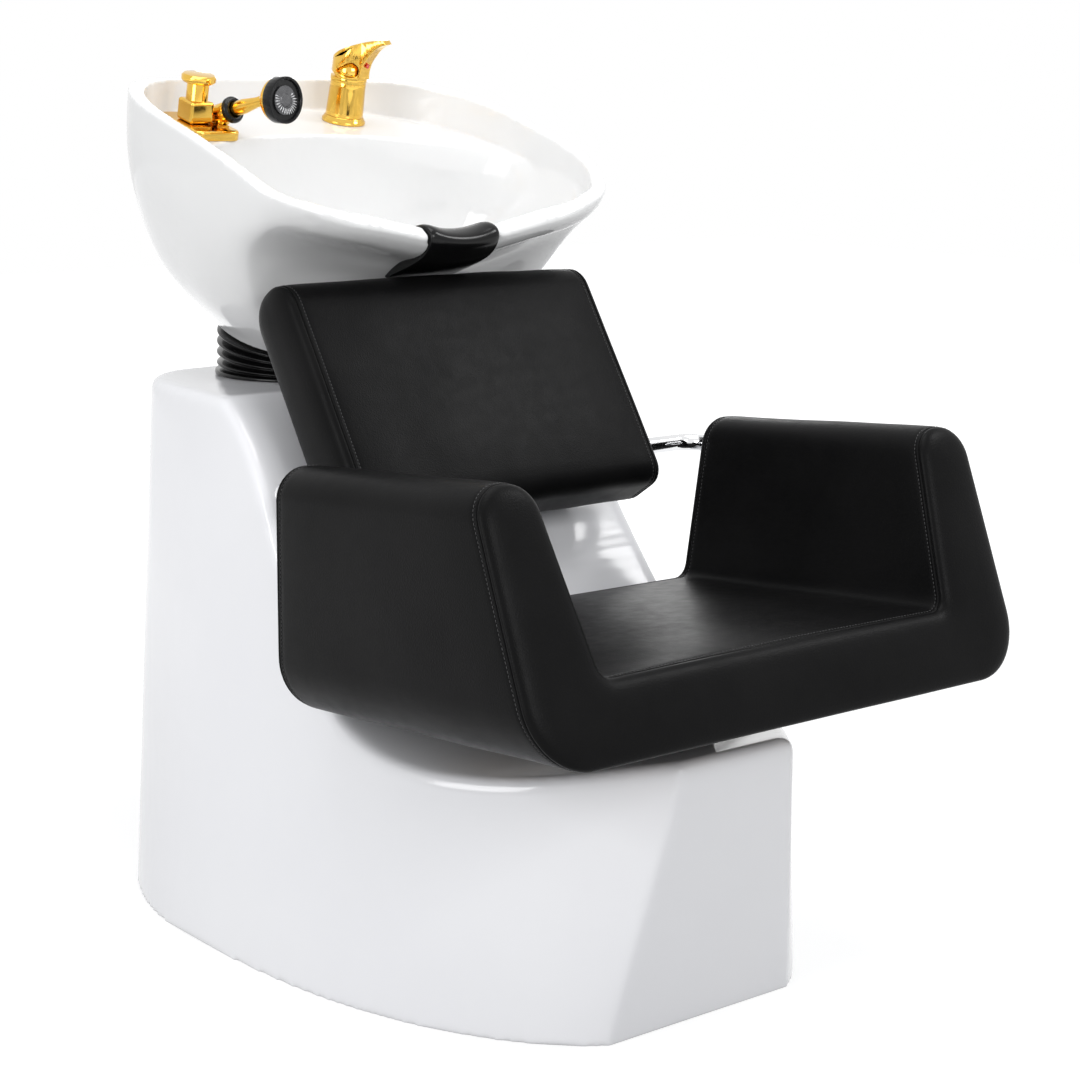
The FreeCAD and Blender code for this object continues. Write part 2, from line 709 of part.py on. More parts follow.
def back_rail():
    path = rail_path()
    outside = round_pipe(size("rail_radius"), path)
    return solid_feature("back_rail", outside)


def rail_rosettes():
    rings = []
    for side in (-1, 1):
        ring = Part.makeCylinder(size("rosette_radius"), size("rosette_thickness"),
                                 V(side * size("rail_half_span"), -size("seat_rear_y") + GAP,
                                   size("rail_z")), Y_AXIS)
        ring = ring.makeChamfer(size("rosette_thickness") / 3,
                                [e for e in ring.Edges if e.Length > size("rosette_radius")])
        ring = ring.cut(Part.makeCylinder(size("rail_radius") + GAP, 4 * size("rosette_thickness"),
                                          V(side * size("rail_half_span"), -size("seat_rear_y")
                                            - size("rosette_thickness"), size("rail_z")), Y_AXIS))
        rings.append(ring)
    return solid_feature("rail_rosettes", Part.makeCompound(rings))


# Backrest, in its own leaning frame: x across, y through the pad, z up its height

def pad_ring(x, inset, crown_share):
    """Side view of the pad at one place across it: round ends and a swollen front."""
    front = -size("backrest_before_rail")
    rear = front + size("backrest_thickness") - inset
    front += inset
    low = -size("backrest_below_rail") + inset
    high = size("backrest_height") - size("backrest_below_rail") - inset
    keep_share = 1 - inset / size("backrest_top_radius")
    foot = size("backrest_foot_radius") * keep_share
    top = size("backrest_top_radius") * keep_share
    corners = [V(x, front, low), V(x, rear, low), V(x, rear, high), V(x, front, high)]
    swell = V(0, -size("backrest_crown") * crown_share, 0)
    return rounded_wire(corners, [foot, foot, top, top], {3: swell})


# Places across one half of the pad, outwards from its middle: share of the half width, share
# of the belly outside it, share of the belly drawn in all round, and of the front's crown.
PAD_SHARES = [
    (0.30, 0.00, 0.00, 1.00), (0.78, 0.00, 0.00, 0.75), (1.00, 0.00, 0.15, 0.30),
    (1.00, 0.55, 0.80, 0.20), (1.00, 0.90, 1.80, 0.10), (1.00, 1.00, 2.90, 0.05),
]


def backrest_cushion():
    """Thick slab with round ends, a crowned front and sides that stand out at the seams."""
    half = size("backrest_half_width")
    belly = size("backrest_belly")
    right = [(share_x * half + out * belly, inset * belly, crown)
             for share_x, out, inset, crown in PAD_SHARES]
    left = [(-x, inset, crown) for x, inset, crown in reversed(right)]
    block = loft([pad_ring(*place) for place in left + right], ruled=True)
    bore = Part.makeCylinder(size("rail_radius") + size("sleeve_wall") + 2 * GAP,
                             2 * backrest_reach() + 2 * OVERRUN,
                             V(-backrest_reach() - OVERRUN, 0, 0), X_AXIS)
    return solid_feature("backrest_cushion", block.cut(bore), BACK)


def backrest_reach():
    """Half width of the backrest at its fullest, between the seams."""
    return size("backrest_half_width") + size("backrest_belly")


def backrest_sleeve():
    half = backrest_reach()
    sleeve = Part.makeCylinder(size("rail_radius") + size("sleeve_wall") + GAP, 2 * half,
                               V(-half, 0, 0), X_AXIS)
    sleeve = sleeve.cut(Part.makeCylinder(size("rail_radius") + GAP, 2 * half + 2 * OVERRUN,
                                          V(-half - OVERRUN, 0, 0), X_AXIS))
    return solid_feature("backrest_sleeve", sleeve, BACK)


def rail_collars():
    rings = []
    for side in (-1, 1):
        start = side * (backrest_reach() + size("running_gap"))
        ring = Part.makeCylinder(size("collar_radius"), size("collar_thickness"),
                                 V(start, 0, 0), X_AXIS * side)
        ring = ring.cut(Part.makeCylinder(size("rail_radius") + GAP / 3,
                                          4 * size("collar_thickness"),
                                          V(start - 2 * size("collar_thickness"), 0, 0), X_AXIS))
        rings.append(ring)
    return solid_feature("rail_collars", Part.makeCompound(rings),
                         placed(0, size("rail_y"), size("rail_z")))


def arm_end_bracket():
    """Small steel angle on the rear end of the sitter's right arm."""
    width = size("bracket_width")
    height = size("bracket_height")
    thick = size("bracket_thickness")
    leaf = rounded_wire([V(0, 0, 0), V(width, 0, 0), V(width, 0, height), V(0, 0, height)],
                        [width * 0.45, width * 0.45, thick, thick])
    leaf = Part.Face(leaf).extrude(V(0, thick, 0))
    rib = Part.makeBox(thick, size("bracket_reach"), height * 0.62,
                       V(thick, 0, height * 0.2))
    piece = leaf.fuse(rib)
    x = -size("seat_half_width") + size("seat_rear_radius") + thick
    y = -size("seat_rear_y") + GAP
    return solid_feature("arm_end_bracket", piece,
                         placed(x, y, size("bracket_z") - height / 2))


# Tilt joint under the bowl

def lug(x, thickness, end_z, radius):
    """Upright ear across X round the pin, reaching to a flat end above or below it."""
    ear = Part.makeCylinder(radius, thickness, V(x, 0, 0), X_AXIS)
    web = Part.makeBox(thickness, 2 * radius, abs(end_z), V(x, -radius, min(end_z, 0)))
    return ear.fuse(web)


def clevis():
    """Two ears on a foot, welded to the top of the post and holding the pin."""
    thick = size("clevis_thickness")
    inner = size("clevis_gap") / 2
    radius = size("lug_radius")
    drop = size("clevis_drop")
    foot = Part.makeBox(2 * (inner + thick), size("clevis_depth"), thick,
                        V(-inner - thick, -size("clevis_depth") / 2, -drop))
    ears = [lug(inner, thick, -drop, radius), lug(-inner - thick, thick, -drop, radius)]
    piece = foot.fuse(ears)
    bore = Part.makeCylinder(size("pin_radius") + GAP / 2, 4 * inner, V(-2 * inner, 0, 0), X_AXIS)
    middle = pin_place()
    return solid_feature("tilt_clevis", piece.cut(bore).removeSplitter(),
                         placed(0, middle.y, middle.z))


def tilt_plate():
    """Plate bolted under the foot of the bowl, with two knuckles down to the pin."""
    half_x = size("tilt_plate_half_width")
    half_y = size("tilt_plate_half_length")
    thick = size("tilt_plate_thickness")
    top = size("foot_height") - GAP
    base = rounded_wire([V(-half_x, -half_y, top - thick), V(half_x, -half_y, top - thick),
                         V(half_x, half_y, top - thick), V(-half_x, half_y, top - thick)],
                        [size("tilt_plate_corner")] * 4)
    piece = Part.Face(base).extrude(V(0, 0, thick))
    drop = size("pin_drop")
    knuckle = size("knuckle_thickness")
    inner = size("clevis_gap") / 2 - 2 * size("running_gap") - size("disc_thickness") - knuckle
    for x in (inner, -inner - knuckle):
        ear = lug(x, knuckle, drop + top - thick / 2, size("lug_radius"))
        ear.translate(V(0, 0, -drop))
        piece = piece.fuse(ear)
    piece = piece.cut(Part.makeCylinder(size("pin_radius") + GAP / 2, 4 * half_x,
                                        V(-2 * half_x, 0, -drop), X_AXIS))
    for radius, y in ((size("tail_radius") + size("clevis_thickness") / 2, size("drain_y")),
                      (size("hose_hole_radius"), size("hose_hole_y"))):
        piece = piece.cut(Part.makeCylinder(radius, 4 * thick, V(0, y, top - 2 * thick)))
    for x, y in tilt_bolt_places():
        piece = piece.cut(Part.makeCylinder(size("tilt_bolt_radius") + GAP, 4 * thick,
                                            V(x, y, top - 2 * thick)))
    return solid_feature("tilt_plate", piece.removeSplitter(), BOWL)


def tilt_bolt_places():
    return [(x, y) for x in (-size("tilt_bolt_half_x"), size("tilt_bolt_half_x"))
            for y in (-size("tilt_bolt_half_y"), size("tilt_bolt_half_y"))]


def tilt_bolts():
    under = size("foot_height") - 2 * GAP - size("tilt_plate_thickness")
    screw = bolt(size("tilt_bolt_radius"), size("tilt_bolt_length"), size("tilt_bolt_head"),
                 size("tilt_bolt_head_height"))
    bolts = [moved(screw, placed(x, y, under - size("tilt_bolt_head_height")))
             for x, y in tilt_bolt_places()]
    return solid_feature("tilt_bolts", Part.makeCompound(bolts), BOWL)


def tilt_pin():
    """Pin with a hexagon head at one end; its nut closes the other."""
    inner = size("clevis_gap") / 2 + size("clevis_thickness")
    reach = inner + size("pin_nut_height") + size("disc_thickness")
    shank = Part.makeCylinder(size("pin_radius"), inner + reach, V(0, 0, 0), Z_AXIS)
    head = hexagon(size("pin_head_radius"), size("pin_head_height"), -size("pin_head_height"))
    pin = shank.fuse(head)
    middle = pin_place()
    frame = placed(-inner, middle.y, middle.z, Y_AXIS, 90)
    solid_feature("tilt_pin", pin, frame)
    nut = hexagon(size("pin_head_radius"), size("pin_nut_height"))
    nut = nut.cut(Part.makeCylinder(size("pin_radius") + GAP / 3, 4 * size("pin_nut_height"),
                                    V(0, 0, -size("pin_nut_height"))))
    solid_feature("tilt_pin_nut", nut,
                  placed(inner + GAP / 3, middle.y, middle.z, Y_AXIS, 90))


def friction_discs():
    """Two discs between the knuckles and the ears, which hold the bowl where it is put."""
    discs = []
    inner = size("clevis_gap") / 2
    thick = size("disc_thickness")
    for side in (-1, 1):
        start = side * (inner - size("running_gap") / 2 - thick)
        disc = Part.makeCylinder(size("disc_radius"), thick, V(start, 0, 0), X_AXIS * side)
        disc = disc.cut(Part.makeCylinder(size("pin_radius") + GAP / 3, 4 * thick,
                                          V(start - 2 * thick, 0, 0), X_AXIS))
        discs.append(disc)
    middle = pin_place()
    return solid_feature("friction_discs", Part.makeCompound(discs),
                         placed(0, middle.y, middle.z))


# Bellows between the column and the foot of the bowl

def bellows_ring(share, fold):
    """Oval ring of the bellows; its plane turns from level to that of the bowl's foot."""
    low = V(0, size("post_y"), size("column_height") + GAP)
    high = BOWL.multVec(V(0, 0, size("foot_height") - GAP))
    centre = low + (high - low) * share
    ring = Part.Ellipse(V(0, 0, 0), size("bellows_half_x") + fold, size("bellows_half_y") + fold)
    wire = Part.Wire([ring.toShape()])
    wire.Placement = placed(centre.x, centre.y, centre.z, X_AXIS, size("bowl_lean") * share)
    return wire


def bellows():
    """Bellows of deep round folds with a flat flange at its foot."""
    ribs = int(size("bellows_ribs"))
    fold = size("bellows_fold")
    flange_share = 0.12
    shares = [(0, fold), (flange_share, fold), (flange_share, 0)]
    step = (1 - flange_share) / ribs
    for rib in range(ribs):
        start = flange_share + rib * step
        shares += [(start + step * 0.3, fold * 0.85), (start + step * 0.7, fold * 0.85),
                   (start + step, 0)]
    outer = loft([bellows_ring(share, out) for share, out in shares], ruled=True)
    wall = size("bellows_wall")
    inner = loft([bellows_ring(-flange_share, -wall), bellows_ring(1 + flange_share, -wall)],
                 ruled=True)
    return solid_feature("bellows", outer.cut(inner))


# Ceramic bowl, in the bowl frame: y = 0 over the pin, rim towards +Z

# Shares of the height from foot to rim, half width, front and rear reach of the hull.
HULL_SHARES = [
    (0.153, 0.700, 0.660, 0.680), (0.286, 0.820, 0.780, 0.800), (0.453, 0.905, 0.900, 0.900),
    (0.630, 0.965, 0.975, 0.965), (0.812, 0.992, 1.000, 1.000), (1.060, 1.000, 1.000, 1.000),
]

# The same for the basin: its height from floor to deck, its reach inside the rim and to the
# front edge of the deck.
BASIN_SHARES = [
    (0.000, 0.430, 0.370, 0.255), (0.020, 0.475, 0.420, 0.330), (0.118, 0.600, 0.520, 0.530),
    (0.284, 0.735, 0.595, 0.700), (0.480, 0.850, 0.700, 0.830), (0.725, 0.940, 0.915, 0.930),
    (1.000, 1.000, 1.000, 1.000),
]

# Side view of the rim: shares of the reach from front to rear and of the height between
# the front lip and the highest point.
RIM_SHARES = [
    (-0.074, -0.100), (0.000, 0.000), (0.053, 0.128), (0.102, 0.255), (0.160, 0.468),
    (0.266, 0.702), (0.409, 0.862), (0.554, 0.936), (0.742, 1.000), (0.894, 0.936),
    (0.998, 0.745), (1.050, 0.617),
]

# Front view of the lip, which dips to the neck: shares of the half width and of the height
# between the neck and the highest point of the rim.
NECK_DIP_SHARES = [
    (0.000, 0.000), (0.180, 0.010), (0.435, 0.215), (0.623, 0.322), (0.743, 0.420),
    (0.851, 0.590), (0.942, 0.850), (1.050, 1.250),
]

# Side view of the underside in front of the foot, where it draws back under the lip band:
# shares of the front reach and of the height between foot and band.
UNDERSIDE_SHARES = [
    (1.250, 1.110), (1.000, 1.000), (0.954, 0.980), (0.821, 0.895), (0.725, 0.802),
    (0.656, 0.700), (0.611, 0.568), (0.580, 0.400), (0.542, 0.204), (0.489, -0.010),
    (0.445, -0.200),
]


def front_power(share):
    """Superellipse power of the front half: round at the foot, square at the rim."""
    return 2.3 + 3.7 * share


def hull(inset):
    """Outside of the bowl, or with an inset the plain space inside its wall."""
    foot = size("foot_height")
    rise = size("bowl_rim_height") - foot
    straight = inset > 0
    wires = [oval(size("foot_half_x") - inset, size("foot_half_y") - inset,
                  size("foot_half_y") - inset, foot, 2.3, 2.3, straight)]
    for height, width, front, rear in HULL_SHARES:
        wires.append(oval(width * size("bowl_half_width") - inset,
                          front * size("bowl_front") - inset,
                          rear * size("bowl_rear") - inset,
                          foot + height * rise, front_power(height), 2.3 + height / 4, straight))
    return loft(wires, ruled=straight)


def basin(grow):
    """Washing basin below the deck, or with a growth the plain outside of its wall."""
    straight = grow > 0
    floor = size("basin_floor")
    rise = size("deck_height") - floor
    rim = size("rim_width")
    drop = size("bowl_wall") if straight else 0
    wires = []
    for height, width, front, rear in BASIN_SHARES:
        wires.append(oval(width * (size("bowl_half_width") - rim) + grow,
                          front * (size("bowl_front") - rim) + grow,
                          rear * size("basin_rear") + grow,
                          floor - drop + height * (rise + drop), front_power(height), 2.0,
                          straight))
    return loft(wires, ruled=straight)


def inside_rim(low):
    """Upright column with the plan of the space inside the rim."""
    rim = size("rim_width")
    wire = oval(size("bowl_half_width") - rim, size("bowl_front") - rim,
                size("bowl_rear") - rim, low, front_power(1), 2.55)
    top = size("bowl_rim_height") + 4 * OVERRUN
    return Part.Face(wire).extrude(V(0, 0, top - low))


def above_rim():
    """Everything above the curved rim, to be taken off the hull."""
    run = size("bowl_front") + size("bowl_rear")
    low = size("bowl_lip_height")
    rise = size("bowl_rim_height") - low
    half = size("bowl_half_width") + OVERRUN
    points = [V(-half, -size("bowl_front") + share_y * run, low + share_z * rise)
              for share_y, share_z in RIM_SHARES]
    top = size("bowl_rim_height") + 6 * OVERRUN
    ends = [V(-half, points[-1].y, top), V(-half, points[0].y, top)]
    wire = Part.Wire([smooth_edge(points), Part.makeLine(points[-1], ends[0]),
                      Part.makeLine(ends[0], ends[1]), Part.makeLine(ends[1], points[0])])
    return Part.Face(wire).extrude(V(2 * half, 0, 0))


def neck_dip():
    """Wide shallow trough across the front lip, where the nape of the neck comes in."""
    half = size("bowl_half_width")
    low = size("bowl_neck_height")
    rise = size("bowl_rim_height") - low
    start = -2 * size("bowl_front")
    right = [V(share_x * half, start, low + share_z * rise) for share_x, share_z in NECK_DIP_SHARES]
    left = [V(-point.x, point.y, point.z) for point in reversed(right[1:])]
    edge = smooth_edge(left + right)
    closing = Part.makeLine(right[-1], left[0])
    return Part.Face(Part.Wire([edge, closing])).extrude(V(0, 1.35 * size("bowl_front"), 0))


def below_lip(inset, straight=False):
    """Everything under the lip band and in front of the foot, grown by a wall.

    It rises from the middle to both sides, as the band does."""
    foot = size("foot_height")
    band = size("bowl_neck_height") - size("lip_band_height")
    half = size("bowl_half_width") + OVERRUN
    line = [V(0, -share_y * size("bowl_front"), foot + share_z * (band - foot))
            for share_y, share_z in UNDERSIDE_SHARES]
    points = []
    for index, point in enumerate(line):
        ahead = line[min(index + 1, len(line) - 1)]
        along = (ahead - line[max(index - 1, 0)]).normalize()
        points.append(point + V(0, -along.z, along.y) * inset)
    corners = [points[-1], V(0, points[-1].y, -band), V(0, -2 * size("bowl_front"), -band),
               V(0, -2 * size("bowl_front"), points[0].z), points[0]]
    slope = Part.makePolygon(points) if straight else smooth_edge(points)
    side = Part.Face(Part.Wire([slope] + Part.makePolygon(corners).Edges))
    rise = half * math.tan(math.radians(ANGLES["lip_rise"]))
    halves = [side.extrude(V(way * half, 0, rise)) for way in (-1, 1)]
    return halves[0].fuse(halves[1])


def notch(grow, depth, start, run):
    """Rounded trough across the front lip, from y = start inwards, grown for clearances."""
    half = size("notch_half_width") + grow
    low = size("bowl_neck_height") - depth - grow
    high = size("bowl_neck_height") + size("notch_depth")
    corner = depth * 0.75
    wire = rounded_wire([V(-half, start, low), V(half, start, low), V(half, start, high),
                         V(-half, start, high)], [corner, corner, OVERRUN, OVERRUN])
    return Part.Face(wire).extrude(V(0, run, 0))


def bowl_holes():
    """Bores for the drain, the mixer, the breaker, the hoses and the tilt bolts."""
    deck = size("deck_height")
    thick = size("deck_thickness")
    foot = size("foot_height")
    floor = size("basin_floor")
    wall = size("bowl_wall")
    running = size("running_gap")
    holes = [Part.makeCylinder(size("drain_hole_radius"), 3 * wall,
                               V(0, size("drain_y"), floor - 2 * wall)),
             Part.makeCylinder(size("tail_nut_radius") + OVERRUN, wall + OVERRUN,
                               V(0, size("drain_y"), foot - OVERRUN)),
             Part.makeCylinder(size("hose_hole_radius"), wall + 2 * OVERRUN,
                               V(0, size("hose_hole_y"), foot - OVERRUN)),
             Part.makeCylinder(size("shank_radius") + running, 3 * thick,
                               V(size("mixer_x"), size("mixer_y"), deck - 2 * thick)),
             Part.makeCylinder(size("breaker_shank_radius") + running, 3 * thick,
                               V(size("breaker_x"), size("breaker_y"), deck - 2 * thick))]
    for x, y in tilt_bolt_places():
        holes.append(Part.makeCylinder(size("tilt_bolt_radius") + running, wall + 2 * OVERRUN,
                                       V(x, y, foot - OVERRUN)))
    return holes


def bowl():
    """Glazed bowl: hollow hull, basin hung inside it, rear deck and a drawn-back lip."""
    wall = size("bowl_wall")
    deck = size("deck_height")
    foot = size("foot_height")
    half = 2 * size("bowl_half_width")
    body = hull(0).cut(above_rim()).cut(neck_dip()).cut(below_lip(0))
    hollow = hull(wall).common(Part.makeBox(2 * half, 2 * half, deck - size("deck_thickness")
                                            - foot - wall, V(-half, -half, foot + wall)))
    hollow = hollow.cut(basin(wall * 1.5)).cut(below_lip(wall, straight=True))
    body = body.cut(hollow)
    tub = basin(0).cut(below_lip(wall)).common(inside_rim(size("basin_floor") - wall))
    body = body.cut(tub.fuse(inside_rim(deck)))
    ahead = size("bowl_front") + size("notch_depth")
    body = body.cut(notch(GAP, size("notch_depth"), -ahead,
                          size("notch_run") + size("notch_depth")))
    for hole in bowl_holes():
        body = body.cut(hole)
    return solid_feature("bowl", body, BOWL)


def neck_rest():
    """Rubber saddle that fills the notch and hangs down the front of the lip, hugging it."""
    wall = size("neck_wall")
    front = -size("bowl_front")
    top = size("bowl_neck_height")
    low = top - size("neck_drop")
    half = size("notch_half_width")
    reach = size("notch_run") - OVERRUN
    saddle = notch(0, size("notch_depth"), front - wall, reach + wall)
    hanging = Part.makeBox(2 * half, reach + wall, top - size("notch_depth") / 2 - low,
                           V(-half, front - wall, low))
    skin = hanging.cut(below_lip(-GAP - wall))
    lip = hull(-GAP).cut(below_lip(-GAP)).cut(notch(0, size("notch_depth"), 2 * front, -2 * front))
    piece = saddle.fuse(skin).cut(lip)
    behind = Part.makeBox(4 * half, reach, top - size("notch_depth") - low,
                          V(-2 * half, front + reach - 2 * wall, low))
    piece = piece.cut(behind)
    piece = piece.cut(notch(-wall, size("neck_dip") - wall, front - 4 * wall, 2 * reach))
    over = Part.makeBox(4 * half, 4 * reach, 4 * top, V(-2 * half, front - 2 * reach, top))
    return solid_feature("neck_rest", piece.cut(over).removeSplitter(), BOWL)


# Drain

def drain():
    floor = size("basin_floor")
    wall = size("bowl_wall")
    y = size("drain_y")
    flange = turned("drain_flange", [
        ("dims.tail_radius - dims.tail_wall", "-dims.flange_neck"),
        ("dims.flange_neck_radius", "-dims.flange_neck"),
        ("dims.flange_neck_radius", "0 mm"), ("dims.flange_radius", "0 mm"),
        ("dims.flange_radius - dims.tail_wall", "dims.flange_thickness"),
        ("dims.strainer_radius", "dims.flange_thickness"),
        ("dims.tail_radius - dims.tail_wall", "0 mm")])
    keep(flange, "drain_flange", BOWL, placed(0, y, floor + GAP))
    tail = turned("drain_tail", [
        ("dims.tail_radius - dims.tail_wall", "0 mm"),
        ("dims.tail_radius", "0 mm"),
        ("dims.tail_radius", "dims.tail_length"),
        ("dims.tail_radius - dims.tail_wall", "dims.tail_length")])
    top = floor + GAP - size("flange_neck") - GAP / 3
    keep(tail, "drain_tail", BOWL, placed(0, y, top - size("tail_length")))
    seal = turned("drain_seal", [
        ("dims.flange_neck_radius + dims.seat_gap", "0 mm"),
        ("dims.tail_nut_radius - dims.tail_wall", "0 mm"),
        ("dims.tail_nut_radius - dims.tail_wall", "dims.drain_seal_thickness"),
        ("dims.flange_neck_radius + dims.seat_gap", "dims.drain_seal_thickness")])
    seal_z = floor - wall - GAP - size("drain_seal_thickness")
    keep(seal, "drain_seal", BOWL, placed(0, y, seal_z))
    nut = hexagon(size("tail_nut_radius"), size("tail_nut_height"))
    nut = nut.cut(Part.makeCylinder(size("flange_neck_radius") + GAP,
                                    4 * size("tail_nut_height"),
                                    V(0, 0, -size("tail_nut_height"))))
    solid_feature("drain_nut", nut, BOWL,
                  placed(0, y, seal_z - GAP / 3 - size("tail_nut_height")))


def strainer():
    """Lift-out strainer with a ring of holes and a centre knob."""
    body = turned("drain_strainer", [
        ("0 mm", "-dims.strainer_stem"), ("dims.strainer_stem_radius", "-dims.strainer_stem"),
        ("dims.strainer_stem_radius", "0 mm"), ("dims.strainer_radius - dims.tail_wall", "0 mm"),
        ("dims.strainer_radius - dims.seat_gap", "dims.flange_thickness / 2"),
        ("dims.strainer_radius * 0.55", "dims.flange_thickness * 1.4"),
        ("dims.strainer_stem_radius * 1.2", "dims.flange_thickness * 1.6"),
        ("dims.strainer_stem_radius * 1.6", "dims.strainer_height"),
        ("0 mm", "dims.strainer_height + dims.flange_thickness / 2")])
    ring = sketch_on(body, "XY_Plane", "strainer_hole")
    circle(ring, "dims.strainer_radius * 0.42", "0 mm", "dims.strainer_stem_radius / 2")
    doc.recompute()
    pocket = body.newObject("PartDesign::Pocket", "strainer_hole_cut")
    pocket.Profile = ring
    pocket.Midplane = True
    pocket.Type = "Length"
    bind(pocket, Length="dims.strainer_height * 2")
    pattern = body.newObject("PartDesign::PolarPattern", "strainer_ring")
    pattern.Originals = [pocket]
    pattern.Axis = (ring, ["N_Axis"])
    pattern.Angle = 360
    pattern.Occurrences = 8
    body.Tip = pattern
    z = size("basin_floor") + 2 * GAP + size("flange_thickness") * 0.7
    keep(body, "drain_strainer", BOWL, placed(0, size("drain_y"), z))


# Mixer on the deck

def mixer():
    at = placed(size("mixer_x"), size("mixer_y"), size("deck_height") + GAP)
    ring = turned("mixer_base_ring", [
        ("dims.shank_radius + dims.seat_gap", "0 mm"), ("dims.mixer_ring_radius", "0 mm"),
        ("dims.mixer_ring_radius", "dims.mixer_ring_height * 0.35"),
        ("dims.mixer_ring_radius - dims.mixer_ring_height * 0.25", "dims.mixer_ring_height * 0.7"),
        ("dims.mixer_radius + dims.seat_gap", "dims.mixer_ring_height"),
        ("dims.shank_radius + dims.seat_gap", "dims.mixer_ring_height")])
    keep(ring, "mixer_base_ring", BOWL, at)
    base = size("mixer_ring_height") + GAP
    body = turned("mixer_body", [
        ("0 mm", "0 mm"), ("dims.mixer_radius", "0 mm"),
        ("dims.mixer_neck_radius", "dims.mixer_height * 0.85"),
        ("dims.mixer_neck_radius", "dims.mixer_height"), ("0 mm", "dims.mixer_height")])
    keep(body, "mixer_body", BOWL, at.multiply(placed(0, 0, base)))
    shank = turned("mixer_shank", [
        ("0 mm", "0 mm"), ("dims.shank_radius", "0 mm"),
        ("dims.shank_radius", "dims.shank_length + dims.mixer_ring_height"),
        ("0 mm", "dims.shank_length + dims.mixer_ring_height")])
    keep(shank, "mixer_shank", BOWL, at.multiply(placed(0, 0, -size("shank_length"))))
    nut = hexagon(size("lock_nut_radius"), size("lock_nut_height"))
    nut = nut.cut(Part.makeCylinder(size("shank_radius") + GAP, 4 * size("lock_nut_height"),
                                    V(0, 0, -size("lock_nut_height"))))
    nut_z = -size("deck_thickness") - 2 * GAP - size("lock_nut_height")
    solid_feature("mixer_lock_nut", nut, BOWL, at.multiply(placed(0, 0, nut_z)))
    inlets = []
    for side in (-1, 1):
        inlet = Part.makeCylinder(size("inlet_radius"), size("inlet_length"),
                                  V(side * size("inlet_offset"), 0, 0))
        inlets.append(inlet)
    z = -size("shank_length") - GAP / 3 - size("inlet_length")
    solid_feature("mixer_inlets", Part.makeCompound(inlets), BOWL, at.multiply(placed(0, 0, z)))


def mixer_top():
    """Frame at the top of the mixer's body."""
    z = size("deck_height") + GAP + size("mixer_ring_height") + GAP + size("mixer_height")
    return placed(size("mixer_x"), size("mixer_y"), z + GAP)


def mixer_dome():
    """Swivel collar with the ball that the lever rocks on."""
    top = mixer_top()
    collar = cylinder("dome_collar", "dims.mixer_neck_radius + dims.running_gap",
                      "dims.mixer_cap_height", BOWL.multiply(top))
    ball = doc.addObject("Part::Sphere", "dome_ball")
    bind(ball, Radius="dims.dome_radius")
    bind(ball, Angle1="-asin(dims.lever_pivot_z / dims.dome_radius)")
    ball.Placement = BOWL.multiply(top).multiply(
        placed(0, 0, size("mixer_cap_height") + size("lever_pivot_z")))
    keep(joined("mixer_dome", [collar, ball]), "mixer_dome")


def lever_frame():
    """Frame on top of the swivel collar, -Y towards the tip of the lever."""
    return mixer_top().multiply(placed(0, 0, size("mixer_cap_height") + GAP, Z_AXIS,
                                       size("lever_turn")))


# Side view of the lever: shares of its reach forwards and of its rise.
LEVER_TOP_SHARES = [
    (-0.425, 0.160), (-0.425, 0.270), (-0.345, 0.400), (-0.225, 0.500), (-0.070, 0.610),
    (0.125, 0.720), (0.330, 0.825), (0.540, 0.910), (0.750, 0.970), (0.910, 1.000),
]
LEVER_UNDER_SHARES = [
    (1.000, 0.925), (0.800, 0.810), (0.670, 0.680), (0.580, 0.545), (0.510, 0.440),
    (0.465, 0.330), (0.440, 0.000),
]
LEVER_WINDOW_SHARES = [
    (-0.100, 0.130), (0.130, 0.050), (0.345, 0.070), (0.400, 0.200), (0.290, 0.380),
    (0.060, 0.290),
]
LEVER_SLIT_SHARES = [(-0.215, 0.420), (-0.060, 0.540), (0.250, 0.730), (0.030, 0.520)]


def lever_points(shares):
    return [V(0, -forward * size("lever_reach"), up * size("lever_rise"))
            for forward, up in shares]


